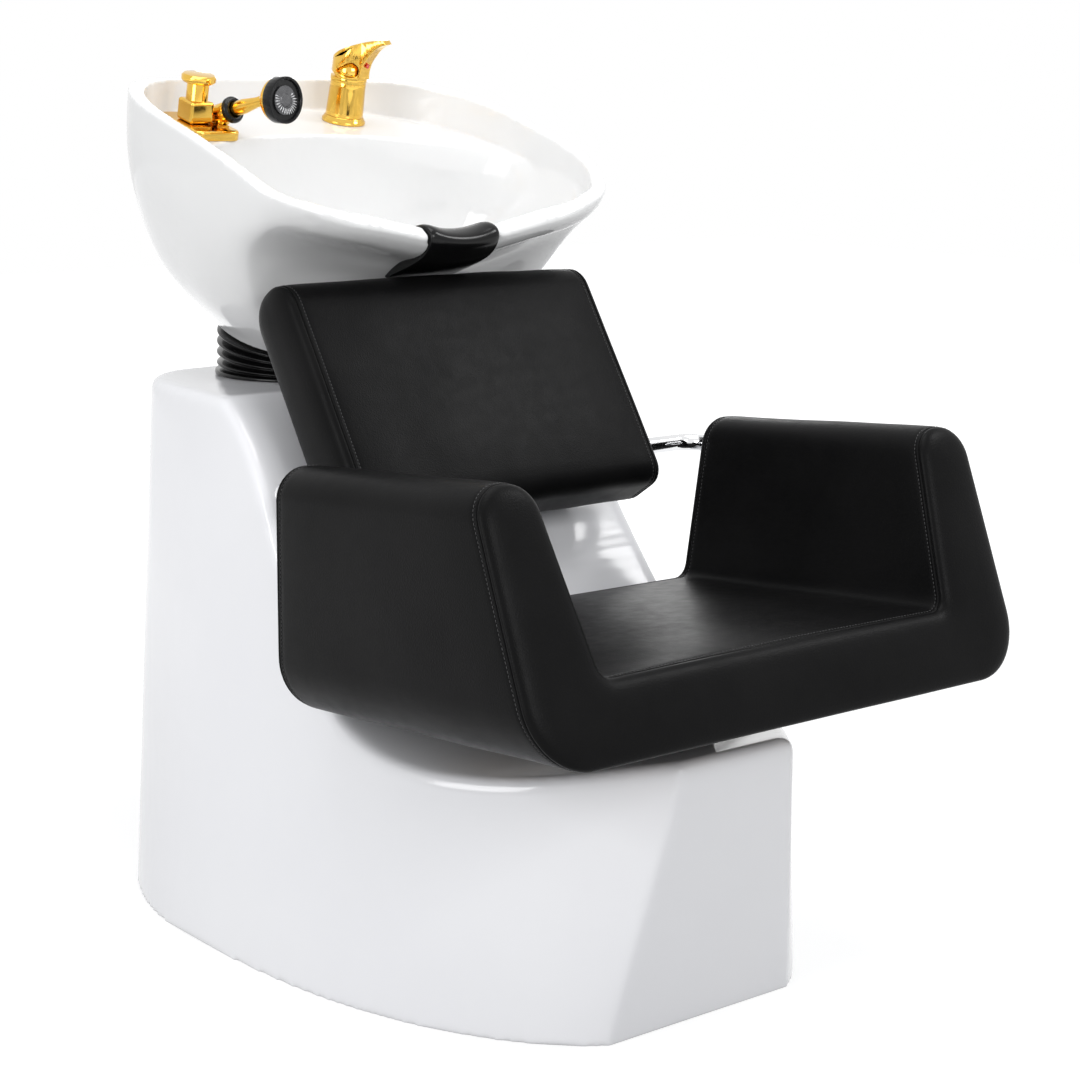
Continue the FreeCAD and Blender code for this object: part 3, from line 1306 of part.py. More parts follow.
def mixer_lever():
    """Beaked lever over a ball: a hollow round back, two side windows and a slit."""
    reach = size("lever_reach")
    rise = size("lever_rise")
    back = size("mixer_neck_radius") + size("running_gap")
    top = lever_points(LEVER_TOP_SHARES)
    under = lever_points(LEVER_UNDER_SHARES)
    heel = V(0, 0, 0)
    side = Part.Face(Part.Wire([
        smooth_edge(top), Part.makeLine(top[-1], under[0]), smooth_edge(under),
        Part.makeLine(under[-1], heel), Part.makeLine(heel, top[0])]))
    side.translate(V(-back, 0, 0))
    tip = size("lever_tip_width") / 2
    shoulder = back * math.sin(math.radians(30))
    forward = back * math.cos(math.radians(30))
    nose = Part.makeLine(V(shoulder, -forward, 0), V(tip, -reach, 0))
    cheek = Part.makeLine(V(-tip, -reach, 0), V(-shoulder, -forward, 0))
    plan = Part.Wire([
        Part.Arc(V(-shoulder, -forward, 0), V(0, back, 0), V(shoulder, -forward, 0)).toShape(),
        nose, Part.Arc(V(tip, -reach, 0), V(0, -reach - tip / 3, 0),
                       V(-tip, -reach, 0)).toShape(), cheek])
    lever = side.extrude(V(2 * back, 0, 0)).common(Part.Face(plan).extrude(V(0, 0, 2 * rise)))
    room = size("dome_radius") + size("running_gap")
    pivot = size("lever_pivot_z") - GAP
    lever = lever.cut(Part.makeSphere(room, V(0, 0, pivot)))
    lever = lever.cut(Part.makeCylinder(room, pivot + OVERRUN, V(0, 0, -OVERRUN)))
    window = Part.Face(Part.Wire([smooth_edge(lever_points(LEVER_WINDOW_SHARES), closed=True)]))
    slit = lever_points(LEVER_SLIT_SHARES)
    slit = Part.Face(Part.makePolygon(slit + slit[:1]))
    for opening in (window, slit):
        opening.translate(V(-2 * back, 0, 0))
        lever = lever.cut(opening.extrude(V(4 * back, 0, 0)))
    solid_feature("mixer_lever", lever, BOWL, lever_frame())


def lever_dot():
    """Hot and cold mark on the front of the lever, square to its slope there."""
    above, seat, below = lever_points(LEVER_UNDER_SHARES[-3:])
    slope = math.degrees(math.atan2(below.y - above.y, above.z - below.z))
    at = lever_frame().multiply(placed(0, seat.y - size("dot_height") / 2, seat.z,
                                       X_AXIS, 90 + slope))
    dot = Part.makeCylinder(size("dot_radius"), size("dot_height"))
    solid_feature("lever_index", dot, BOWL, at)


# Vacuum breaker, hose guide and hand spray

def breaker_at(z=0):
    return placed(size("breaker_x"), size("breaker_y"), size("deck_height") + GAP + z)


def breaker():
    plate_half = size("breaker_plate_width") / 2
    plate_long = size("breaker_plate_length") / 2
    tall = size("breaker_plate_height")
    wire = rounded_wire([V(-plate_half, -plate_long, 0), V(plate_half, -plate_long, 0),
                         V(plate_half, plate_long, 0), V(-plate_half, plate_long, 0)],
                        [size("breaker_plate_corner")] * 4)
    base = Part.Face(wire).extrude(V(0, 0, tall))
    base = base.makeFillet(tall * 0.3, [e for e in base.Edges
                                        if min(v.Point.z for v in e.Vertexes) > tall * 0.9])
    solid_feature("breaker_plate", base, BOWL, breaker_at())
    wide = size("breaker_body_width")
    long = size("breaker_body_length")
    high = size("breaker_body_height")
    block = Part.makeBox(wide, long, high, V(-wide / 2, -long / 2, 0))
    block = block.makeFillet(wide * 0.12, block.Edges)
    neck = Part.makeCylinder(size("breaker_neck_radius"), size("breaker_neck_height") + high * 0.2,
                             V(0, 0, high * 0.8))
    aside = placed(size("breaker_body_x"))
    solid_feature("breaker_body", block.fuse(neck).removeSplitter(), BOWL,
                  breaker_at(tall + GAP).multiply(aside))
    cap = turned("breaker_cap", [
        ("0 mm", "0 mm"), ("dims.breaker_cap_radius - dims.breaker_cap_height * 0.2", "0 mm"),
        ("dims.breaker_cap_radius", "dims.breaker_cap_height * 0.25"),
        ("dims.breaker_cap_radius", "dims.breaker_cap_height * 0.75"),
        ("dims.breaker_cap_radius - dims.breaker_cap_height * 0.25", "dims.breaker_cap_height"),
        ("0 mm", "dims.breaker_cap_height")])
    top = tall + GAP + high + size("breaker_neck_height") + GAP
    keep(cap, "breaker_cap", BOWL, breaker_at(top).multiply(aside))
    shank = turned("breaker_shank", [
        ("0 mm", "0 mm"), ("dims.breaker_shank_radius", "0 mm"),
        ("dims.breaker_shank_radius", "dims.breaker_shank_length"),
        ("0 mm", "dims.breaker_shank_length")])
    keep(shank, "breaker_shank", BOWL, breaker_at(-size("breaker_shank_length") - GAP / 3))
    nut = hexagon(size("breaker_nut_radius"), size("breaker_nut_height"))
    nut = nut.cut(Part.makeCylinder(size("breaker_shank_radius") + GAP,
                                    4 * size("breaker_nut_height"),
                                    V(0, 0, -size("breaker_nut_height"))))
    solid_feature("breaker_nut", nut, BOWL,
                  breaker_at(-size("deck_thickness") - 2 * GAP - size("breaker_nut_height")))


def spray_frame(along=0):
    """Frame in the hose guide, +Z out along the handle of the spray."""
    base = breaker_at(size("breaker_plate_height"))
    base = base.multiply(placed(size("guide_x"), size("guide_y"), size("guide_radius")))
    base = base.multiply(placed(0, 0, 0, Z_AXIS, size("spray_turn")))
    base = base.multiply(placed(0, 0, 0, X_AXIS, 90 - size("spray_lift")))
    return base.multiply(placed(0, 0, along))


def hose_guide():
    """Angled socket on the plate, in which the spray's handle rests."""
    length = size("guide_length")
    outer = Part.makeCylinder(size("guide_radius"), length, V(0, 0, -length / 2))
    bore = Part.makeCylinder(size("guide_bore"), length, V(0, 0, -length * 0.3))
    socket = moved(outer, spray_frame())
    foot = Part.makeCylinder(size("guide_foot_radius"), size("guide_radius") + GAP)
    at = breaker_at(size("breaker_plate_height") + GAP)
    foot = moved(foot, at.multiply(placed(size("guide_x"), size("guide_y"), 0)))
    under = Part.makeBox(*[8 * size("guide_radius")] * 3)
    under = moved(under, at.multiply(placed(-4 * size("guide_radius"), -4 * size("guide_radius"),
                                            -8 * size("guide_radius"))))
    piece = socket.fuse(foot).cut(moved(bore, spray_frame())).cut(under)
    solid_feature("hose_guide", piece, BOWL)


def guide_ring():
    ring = turned("guide_ring", [
        ("dims.guide_bore", "0 mm"), ("dims.guide_ring_radius * 0.85", "0 mm"),
        ("dims.guide_ring_radius", "dims.guide_ring_length * 0.3"),
        ("dims.guide_ring_radius", "dims.guide_ring_length * 0.7"),
        ("dims.guide_ring_radius * 0.85", "dims.guide_ring_length"),
        ("dims.guide_bore", "dims.guide_ring_length")])
    keep(ring, "guide_ring", BOWL, spray_frame(size("guide_length") / 2 + GAP))


def hand_spray():
    insert = size("handle_insert")
    handle = turned("handle_blank", [
        ("0 mm", "0 mm"), ("dims.handle_radius * 0.7", "0 mm"),
        ("dims.handle_radius", "dims.handle_radius * 0.5"),
        ("dims.handle_radius", "dims.handle_insert + dims.guide_ring_length * 1.6"),
        ("dims.handle_tip_radius", "dims.handle_length * 0.8"),
        ("dims.handle_tip_radius", "dims.handle_length + dims.handle_tip_radius"),
        ("0 mm", "dims.handle_length + dims.handle_tip_radius")])
    start = size("guide_length") / 2 + size("guide_ring_length") - insert
    handle.Placement = BOWL.multiply(spray_frame(start))
    head = spray_head_frame()
    beyond = box("handle_trim", "dims.spray_radius", "dims.spray_radius", "dims.spray_radius")
    beyond.Placement = BOWL.multiply(head).multiply(
        placed(-size("spray_radius") / 2, -size("spray_radius") / 2, -GAP / 3))
    keep(less("spray_handle", handle, beyond), "spray_handle")
    bell = turned("spray_bell", [
        ("0 mm", "0 mm"), ("dims.handle_tip_radius * 1.4", "0 mm"),
        ("dims.spray_radius * 0.72", "dims.spray_bell_depth * 0.4"),
        ("dims.spray_radius * 0.93", "dims.spray_bell_depth * 0.75"),
        ("dims.spray_radius * 0.97", "dims.spray_bell_depth"), ("0 mm", "dims.spray_bell_depth")])
    keep(bell, "spray_bell", BOWL, head)
    rim = turned("spray_rim", [
        ("0 mm", "0 mm"), ("dims.spray_radius", "0 mm"),
        ("dims.spray_radius", "dims.spray_rim_depth"),
        ("dims.spray_radius - dims.spray_wall", "dims.spray_rim_depth"),
        ("dims.spray_radius - dims.spray_wall * 1.6", "dims.spray_rim_depth - dims.spray_face_inset"),
        ("0 mm", "dims.spray_rim_depth - dims.spray_face_inset")])
    keep(rim, "spray_rim", BOWL, head.multiply(placed(0, 0, size("spray_bell_depth") + GAP / 3)))
    face = turned("spray_face", [
        ("0 mm", "0 mm"), ("dims.spray_radius * 0.62", "0 mm"),
        ("dims.spray_radius * 0.62", "dims.spray_face_thickness * 0.4"),
        ("dims.spray_radius * 0.3", "dims.spray_face_thickness * 0.5"),
        ("dims.spray_radius * 0.25", "dims.spray_face_thickness * 0.8"),
        ("0 mm", "dims.spray_face_thickness * 0.8")])
    z = size("spray_bell_depth") + size("spray_rim_depth") - size("spray_face_inset") + GAP / 2
    keep(face, "spray_face", BOWL, head.multiply(placed(0, 0, z)))


def spray_head_frame():
    """Frame of the spray's bell, nodded forward from the handle's tip."""
    start = size("guide_length") / 2 + size("guide_ring_length") - size("handle_insert")
    tip = spray_frame(start + size("handle_length") + GAP / 3)
    return tip.multiply(placed(0, 0, 0, X_AXIS, size("spray_nod")))


# Build, check and write

def build():
    base_shell()
    rear_access_panel()
    panel_screws()
    floor_plate()
    floor_frame()
    seat_plate()
    seat_bolts()
    seat_board()
    seat_upholstery()
    back_rail()
    rail_rosettes()
    backrest_cushion()
    backrest_sleeve()
    rail_collars()
    arm_end_bracket()
    clevis()
    tilt_pin()
    friction_discs()
    tilt_plate()
    tilt_bolts()
    bellows()
    bowl()
    neck_rest()
    drain()
    strainer()
    mixer()
    mixer_dome()
    mixer_lever()
    lever_dot()
    breaker()
    hose_guide()
    guide_ring()
    hand_spray()


def write_parts():
    os.makedirs("parts", exist_ok=True)
    for piece in doc.Objects:
        if "Invalid" in piece.State or "Error" in piece.State:
            raise RuntimeError("%s failed: %s" % (piece.Label, piece.State))
    for piece in PARTS:
        shape = piece.Shape
        if shape.isNull() or not shape.isValid() or not shape.Solids:
            raise RuntimeError("%s has no valid solid" % piece.Label)
        print("%-20s solids %d volume %10.1f cm3 faces %d" % (
            piece.Label, len(shape.Solids), shape.Volume / 1000, len(shape.Faces)))
        shape.exportStep("parts/%s.step" % piece.Label)


build()
doc.recompute()
write_parts()
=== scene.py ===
import json
import math

import bmesh
import bpy
from mathutils import Matrix, Vector, noise
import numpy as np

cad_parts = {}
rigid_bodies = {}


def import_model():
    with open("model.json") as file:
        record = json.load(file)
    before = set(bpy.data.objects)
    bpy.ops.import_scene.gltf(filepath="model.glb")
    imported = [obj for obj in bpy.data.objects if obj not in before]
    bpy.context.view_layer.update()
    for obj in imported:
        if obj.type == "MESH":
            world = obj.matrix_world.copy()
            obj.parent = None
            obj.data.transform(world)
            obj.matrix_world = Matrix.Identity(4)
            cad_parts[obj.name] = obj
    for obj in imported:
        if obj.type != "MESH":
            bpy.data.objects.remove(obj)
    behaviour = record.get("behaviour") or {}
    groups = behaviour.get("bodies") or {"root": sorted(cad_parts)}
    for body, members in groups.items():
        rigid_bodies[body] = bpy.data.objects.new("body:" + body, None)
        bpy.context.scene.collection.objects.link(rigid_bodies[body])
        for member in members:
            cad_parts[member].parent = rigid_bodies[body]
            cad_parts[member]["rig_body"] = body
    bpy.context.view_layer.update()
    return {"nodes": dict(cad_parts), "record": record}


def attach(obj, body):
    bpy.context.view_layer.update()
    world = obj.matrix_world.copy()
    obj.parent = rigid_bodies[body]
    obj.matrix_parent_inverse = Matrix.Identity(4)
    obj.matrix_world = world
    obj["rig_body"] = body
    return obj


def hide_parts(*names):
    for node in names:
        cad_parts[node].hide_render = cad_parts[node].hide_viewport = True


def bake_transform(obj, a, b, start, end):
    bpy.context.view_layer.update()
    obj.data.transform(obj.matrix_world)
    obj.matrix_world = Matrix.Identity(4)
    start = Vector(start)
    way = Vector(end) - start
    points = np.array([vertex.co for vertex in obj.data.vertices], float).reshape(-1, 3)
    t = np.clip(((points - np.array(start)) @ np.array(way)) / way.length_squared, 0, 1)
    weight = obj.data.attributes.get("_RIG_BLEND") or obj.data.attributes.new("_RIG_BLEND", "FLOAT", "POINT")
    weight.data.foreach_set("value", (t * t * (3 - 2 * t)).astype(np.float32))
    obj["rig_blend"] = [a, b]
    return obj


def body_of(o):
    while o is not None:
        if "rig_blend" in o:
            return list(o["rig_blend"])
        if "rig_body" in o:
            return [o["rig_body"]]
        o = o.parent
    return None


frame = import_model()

# Looks of the hair washing bed. Metres, +Z up, the sitter faces -Y.

NODES = frame["nodes"]

BOWL_TILT = math.radians(13.5)
BOWL_ORIGIN = Vector((0, 0.418, 0.700))
SEAT_LEAN = math.radians(4.7)
BACK_LEAN = math.radians(33.5)
RAIL = Vector((0, 0.050, 0.580))


def in_bowl(x, y, z):
    """Point of the bowl's own tilted frame, in the row frame."""
    return BOWL_ORIGIN + Matrix.Rotation(BOWL_TILT, 3, "X") @ Vector((x, y, z))


def from_bowl(point):
    """Point of the row frame, in the bowl's own tilted frame."""
    return Matrix.Rotation(-BOWL_TILT, 3, "X") @ (point - BOWL_ORIGIN)


def in_back(x, y, z):
    """Point of the backrest's leaning frame, in the row frame."""
    return RAIL + Matrix.Rotation(-BACK_LEAN, 3, "X") @ Vector((x, y, z))


def along(table, x):
    """Value at x of a table of corners."""
    for (x0, y0), (x1, y1) in zip(table, table[1:]):
        if x <= x1:
            return y0 + (y1 - y0) * (x - x0) / (x1 - x0)
    return table[-1][1]


def held(x):
    return min(1.0, max(0.0, x))


def ease(x, start, end):
    """Rises softly from 0 at the start to 1 at the end."""
    t = held((x - start) / (end - start))
    return t * t * (3 - 2 * t)


# Materials

PATTERN_LOW, PATTERN_HIGH = 0.3, 0.7  # most of a noise pattern lies between these
DRIFT_DETAIL, GLOSS_DETAIL, GRAIN_DETAIL = 4.0, 5.0, 6.0
COARSE, FINE = 0.5, 0.6  # roughness of the noise patterns
GLOSS_RATIO = 6  # the gloss varies that many times finer than the colour
COAT_ROUGHNESS = 0.04
CELL_SMOOTHNESS = 0.6
CELL_STRENGTH, CELL_DEPTH = 2.2, 1.6  # of the cells, as times those of the grain


def link(tree, out, into):
    tree.links.new(out, into)


def noise_node(tree, where, scale, detail, roughness):
    node = tree.nodes.new("ShaderNodeTexNoise")
    node.inputs["Scale"].default_value = scale
    node.inputs["Detail"].default_value = detail
    node.inputs["Roughness"].default_value = roughness
    link(tree, where, node.inputs["Vector"])
    return node.outputs["Fac"]


def cells_node(tree, where, scale):
    node = tree.nodes.new("ShaderNodeTexVoronoi")
    node.feature = "SMOOTH_F1"
    node.inputs["Scale"].default_value = scale
    node.inputs["Smoothness"].default_value = CELL_SMOOTHNESS
    link(tree, where, node.inputs["Vector"])
    return node.outputs["Distance"]


def range_node(tree, value, from_low, from_high, low, high):
    node = tree.nodes.new("ShaderNodeMapRange")
    for name, number in (("From Min", from_low), ("From Max", from_high),
                         ("To Min", low), ("To Max", high)):
        node.inputs[name].default_value = number
    link(tree, value, node.inputs["Value"])
    return node


def spread(tree, pattern, low, high):
    """Maps a noise pattern on the range asked for."""
    node = range_node(tree, pattern, PATTERN_LOW, PATTERN_HIGH, low, high)
    return node.outputs["Result"]


def blend_colours(tree, value, first, second):
    node = tree.nodes.new("ShaderNodeMix")
    node.data_type = "RGBA"
    node.inputs["A"].default_value = (*first, 1)
    node.inputs["B"].default_value = (*second, 1)
    link(tree, value, node.inputs["Factor"])
    return node.outputs["Result"]


def add_bump(tree, shader, height, strength, distance, before=None):
    node = tree.nodes.new("ShaderNodeBump")
    node.inputs["Strength"].default_value = strength
    node.inputs["Distance"].default_value = distance
    link(tree, height, node.inputs["Height"])
    if before is not None:
        link(tree, before, node.inputs["Normal"])
    link(tree, node.outputs["Normal"], shader.inputs["Normal"])
    return node.outputs["Normal"]


def finish(name, colours, rough, metallic=0.0, coat=0.0, patch=9.0, fine=900.0, bump=0.05,
           depth=0.0002, cells=0.0, mirror=0.5):
    """Finish with drifting colour and gloss, fine grain, and cells where it is leather."""
    mat = bpy.data.materials.new(name)
    mat.use_nodes = True
    tree = mat.node_tree
    shader = tree.nodes["Principled BSDF"]
    where = tree.nodes.new("ShaderNodeTexCoord").outputs["Object"]
    drift = noise_node(tree, where, patch, DRIFT_DETAIL, COARSE)
    link(tree, blend_colours(tree, spread(tree, drift, 0, 1), *colours),
         shader.inputs["Base Color"])
    gloss = noise_node(tree, where, patch * GLOSS_RATIO, GLOSS_DETAIL, FINE)
    link(tree, spread(tree, gloss, *rough), shader.inputs["Roughness"])
    shader.inputs["Metallic"].default_value = metallic
    shader.inputs["Specular IOR Level"].default_value = mirror
    shader.inputs["Coat Weight"].default_value = coat
    shader.inputs["Coat Roughness"].default_value = COAT_ROUGHNESS
    grain = noise_node(tree, where, fine, GRAIN_DETAIL, FINE)
    normal = add_bump(tree, shader, grain, bump, depth)
    if cells:
        add_bump(tree, shader, cells_node(tree, where, cells), bump * CELL_STRENGTH,
                 depth * CELL_DEPTH, normal)
    return mat


LEATHER = finish("black_leather", ((0.0040, 0.0040, 0.0042), (0.0065, 0.0064, 0.0066)),
                 (0.32, 0.40), fine=1500.0, bump=0.14, depth=0.0003, cells=620.0, mirror=0.05)
RUBBER = finish("black_rubber", ((0.0035, 0.0035, 0.0038), (0.0055, 0.0055, 0.0056)),
                (0.14, 0.22), patch=25.0, fine=300.0, bump=0.04, mirror=0.22)
GLAZE = finish("bowl_glaze", ((0.785, 0.785, 0.785), (0.81, 0.81, 0.808)), (0.05, 0.09),
               patch=4.0, fine=16.0, bump=0.020, depth=0.0006)
SHELL = finish("shell_white", ((0.815, 0.815, 0.84), (0.84, 0.84, 0.86)), (0.09, 0.15),
               patch=3.0, fine=11.0, bump=0.030, depth=0.0010)
CHROME = finish("rail_chrome", ((0.78, 0.79, 0.80), (0.84, 0.84, 0.85)), (0.04, 0.09),
                metallic=1.0, patch=30.0, fine=400.0, bump=0.015)
GOLD = finish("gold_metal", ((0.78, 0.47, 0.075), (0.86, 0.54, 0.11)), (0.06, 0.12),
              metallic=1.0, patch=40.0, fine=250.0, bump=0.03)
STEEL = finish("fastener_steel", ((0.50, 0.50, 0.51), (0.62, 0.62, 0.63)), (0.25, 0.42),
               metallic=1.0, patch=60.0, fine=1600.0, bump=0.10)
PAINT = finish("frame_paint", ((0.030, 0.030, 0.034), (0.045, 0.045, 0.050)), (0.38, 0.55),
               patch=20.0, fine=1200.0, bump=0.12)
BRACKET = finish("bracket_black", ((0.012, 0.012, 0.013), (0.020, 0.020, 0.020)), (0.30, 0.45),
                 patch=60.0, fine=1400.0, bump=0.10)
PLY = finish("plywood", ((0.50, 0.34, 0.19), (0.62, 0.46, 0.28)), (0.55, 0.75), patch=35.0,
             fine=500.0, bump=0.20)
WASTE = finish("drain_plastic", ((0.72, 0.72, 0.70), (0.80, 0.80, 0.78)), (0.35, 0.50),
               patch=40.0, fine=1200.0, bump=0.08)
LINING = finish("friction_lining", ((0.26, 0.20, 0.15), (0.36, 0.29, 0.22)), (0.60, 0.80),
                patch=200.0, fine=2500.0, bump=0.25)
SPRAY_BLACK = finish("spray_black", ((0.005, 0.005, 0.006), (0.008, 0.008, 0.008)), (0.14, 0.24),
                     patch=60.0, fine=900.0, bump=0.04, mirror=0.25)
SPRAY_FACE = finish("spray_steel", ((0.10, 0.10, 0.105), (0.16, 0.16, 0.165)), (0.22, 0.34),
                    metallic=0.8, patch=80.0, fine=1500.0, bump=0.08)
MARK = finish("index_mark", ((0.60, 0.02, 0.02), (0.75, 0.04, 0.03)), (0.10, 0.20), coat=0.5,
              patch=120.0, fine=900.0, bump=0.02)
THREAD = finish("black_thread", ((0.014, 0.014, 0.015), (0.030, 0.030, 0.031)), (0.45, 0.60),
                patch=300.0, fine=5000.0, bump=0.30)

FINISHES = {
    "shell_white": SHELL, "bowl_glaze": GLAZE, "black_leather": LEATHER, "rail_chrome": CHROME,
    "frame_paint": PAINT, "fastener_steel": STEEL, "bracket_black": BRACKET, "plywood": PLY,
    "black_rubber": RUBBER, "drain_chrome": CHROME, "drain_plastic": WASTE,
    "friction_lining": LINING, "gold_metal": GOLD, "spray_black": SPRAY_BLACK,
    "spray_steel": SPRAY_FACE, "index_mark": MARK,
}


def dress_nodes():
    """Gives every CAD node the finish of its slot."""
    for part in frame["record"]["subparts"]:
        node = NODES[part["node"]]
        node.data.materials.clear()
        node.data.materials.append(FINISHES[part["material_slot"]])


# Mesh helpers

ARC_SHARE = 1.6  # an arc of an outline takes that many times the points of a straight run
ARC_STEPS = 4    # and at least that many steps


def smooth_faces(data):
    for face in data.polygons:
        face.use_smooth = True


def add_object(name, data, material):
    smooth_faces(data)
    data.materials.append(material)
    obj = bpy.data.objects.new(name, data)
    bpy.context.scene.collection.objects.link(obj)
    return obj


def mesh_object(name, vertices, faces, material):
    data = bpy.data.meshes.new(name)
    data.from_pydata([tuple(v) for v in vertices], [], faces)
    data.validate()
    bm = bmesh.new()
    bm.from_mesh(data)
    bmesh.ops.recalc_face_normals(bm, faces=bm.faces)
    bm.to_mesh(data)
    bm.free()
    return add_object(name, data, material)


def apply_modifiers(obj):
    """Fixes the modifiers of an object in its mesh, which keeps its one material."""
    material = obj.data.materials[0]
    evaluated = obj.evaluated_get(bpy.context.evaluated_depsgraph_get())
    fresh = bpy.data.meshes.new_from_object(evaluated)
    obj.modifiers.clear()
    old = obj.data
    obj.data = fresh
    bpy.data.meshes.remove(old)
    smooth_faces(fresh)
    fresh.materials.clear()
    fresh.materials.append(material)


def subdivide(obj, levels):
    rounder = obj.modifiers.new("round", "SUBSURF")
    rounder.levels = levels
    rounder.render_levels = levels
    apply_modifiers(obj)


def tube_faces(rings, around, base=0, closed=False):
    """Quads between rings of equal count, closed too from the last ring to the first if asked."""
    faces = []
    for r in range(rings if closed else rings - 1):
        here = base + r * around
        there = base + (r + 1) % rings * around
        for k in range(around):
            nxt = (k + 1) % around
            faces.append((here + k, here + nxt, there + nxt, there + k))
    return faces


def rounded_outline(corners, radii, spacing):
    """Closed outline with an arc at each corner, its points about evenly spaced."""
    points = []
    count = len(corners)
    arcs = []
    for k in range(count):
        corner = Vector(corners[k])
        to_before = (Vector(corners[k - 1]) - corner).normalized()
        to_after = (Vector(corners[(k + 1) % count]) - corner).normalized()
        half = to_before.angle(to_after) / 2
        reach = radii[k] / math.tan(half)
        centre = corner + (to_before + to_after).normalized() * radii[k] / math.sin(half)
        first = corner + to_before * reach - centre
        last = corner + to_after * reach - centre
        sweep = math.copysign(math.pi - 2 * half, first.cross(last))
        steps = max(ARC_STEPS, math.ceil(abs(sweep) * radii[k] / spacing * ARC_SHARE))
        arcs.append([centre + Matrix.Rotation(sweep * i / steps, 2) @ first
                     for i in range(steps + 1)])
    for k in range(count):
        points += arcs[k]
        start = arcs[k][-1]
        end = arcs[(k + 1) % count][0]
        runs = max(1, round((end - start).length / spacing))
        points += [start.lerp(end, i / runs) for i in range(1, runs)]
    area = sum(a.cross(b) for a, b in zip(points, points[1:] + points[:1]))
    return points if area > 0 else points[::-1]


def outward(points):
    """Outward normal at each point of a closed outline that runs anticlockwise."""
    count = len(points)
    normals = []
    for i in range(count):
        way = (points[(i + 1) % count] - points[i - 1]).normalized()
        normals.append(Vector((way.y, -way.x)))
    return normals


# Hard pieces: worked copies that stand for CAD nodes

SMOOTH_FACTOR = 0.5
WELD_REACH = 0.00002
EDGE_SEGMENTS = 2
EDGE_ANGLE = math.radians(32)


def copy_of(name):
    """Copy of a CAD node's mesh, in the node's place."""
    piece = bpy.data.objects.new(name + "_finished", NODES[name].data.copy())
    bpy.context.scene.collection.objects.link(piece)
    return piece


def settle(piece, name):
    """Fixes the modifiers of a copy, puts it on the body of its CAD node and hides the node."""
    apply_modifiers(piece)
    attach(piece, body_of(NODES[name])[0])
    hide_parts(name)


def add_smoothing(piece, passes, group=""):
    smooth = piece.modifiers.new("smooth", "SMOOTH")
    smooth.factor = SMOOTH_FACTOR
    smooth.iterations = passes
    smooth.vertex_group = group


def skinned(name, voxel, passes, shape, melts):
    """Even skin over a moulded or cast CAD node, melted further where a weight says so."""
    piece = copy_of(name)
    skin = piece.modifiers.new("skin", "REMESH")
    skin.mode = "VOXEL"
    skin.voxel_size = voxel
    apply_modifiers(piece)
    if shape:
        shape(piece.data)
    for number, (weight, melt_passes) in enumerate(melts):
        group = piece.vertex_groups.new(name="melt_" + str(number))
        for vertex in piece.data.vertices:
            amount = weight(vertex.co)
            if amount > 0:
                group.add([vertex.index], amount, "REPLACE")
        add_smoothing(piece, melt_passes, group.name)
    add_smoothing(piece, passes)
    settle(piece, name)


def edged(name, width):
    """Turned or machined CAD node with small rounded edges."""
    piece = copy_of(name)
    weld = piece.modifiers.new("weld", "WELD")
    weld.merge_threshold = WELD_REACH
    bevel = piece.modifiers.new("edges", "BEVEL")
    bevel.width = width
    bevel.segments = EDGE_SEGMENTS
    bevel.limit_method = "ANGLE"
    bevel.angle_limit = EDGE_ANGLE
    bevel.harden_normals = True
    smooth_faces(piece.data)
    settle(piece, name)


# Upholstery

# Ends of an upholstered run, from its side over the sewn seam to the middle of its end:
# metres back from the end plane and metres drawn in from the outline.
SEAM_BACK = 0.0105
STITCH_BACK = 0.0158
END_PROFILE = [
    (0.045, 0.0), (0.032, 0.0), (0.0235, 0.0), (0.0195, 0.0001), (0.0172, 0.0004),
    (STITCH_BACK, 0.0009), (0.0145, 0.0005), (0.0130, 0.0002), (0.0118, 0.0005),
    (0.0111, 0.0016), (SEAM_BACK, 0.0032), (0.0099, 0.0016), (0.0091, 0.0006),
    (0.0072, 0.0008), (0.0048, 0.0020), (0.0025, 0.0044), (0.0007, 0.0080),
    (-0.0006, 0.0128), (-0.0015, 0.0188), (-0.0022, 0.0258), (-0.0026, 0.0335),
]
OUTLINE_STEP = 0.011
JOIN_ANGLE = 3.1  # triangles of a filled end are joined up to this angle, in radians

STITCH_INSET = 0.0004
STITCH_STEP = 0.0046
STITCH_LENGTH = 0.0031
THREAD_RADIUS = 0.00052
THREAD_SIDES = 6
THREAD_PROFILE = [(-0.5, 0.25), (-0.36, 0.85), (0.0, 1.0), (0.36, 0.85), (0.5, 0.25)]


class Upholstery:
    """Padded block of one outline, run from w = 0 to its length, sewn at both ends."""

    def __init__(self, outline, length, place, bulge, steps):
        self.outline = outline
        self.normals = outward(outline)
        self.length = length
        self.place = place
        self.bulge = bulge
        self.stations = [k / steps for k in range(1, steps)]

    def ring(self, inset, share, back):
        """Outline drawn in, at a share of the run between points that far from its ends."""
        ring = []
        for spot, normal in zip(self.outline, self.normals):
            p = spot - normal * inset
            run = self.length(p)
            w = back + share * (run - 2 * back)
            ring.append(self.place(p + normal * self.bulge(spot, w / run), w))
        return ring

    def rings(self):
        near = [self.ring(inset, 0, back) for back, inset in reversed(END_PROFILE)]
        middle = [self.ring(0, share, END_PROFILE[0][0]) for share in self.stations]
        far = [self.ring(inset, 1, back) for back, inset in END_PROFILE]
        return near + middle + far

    def seams(self):
        """Lines of stitches beside the seams at both ends."""
        return [self.ring(STITCH_INSET, share, STITCH_BACK) for share in (1, 0)]


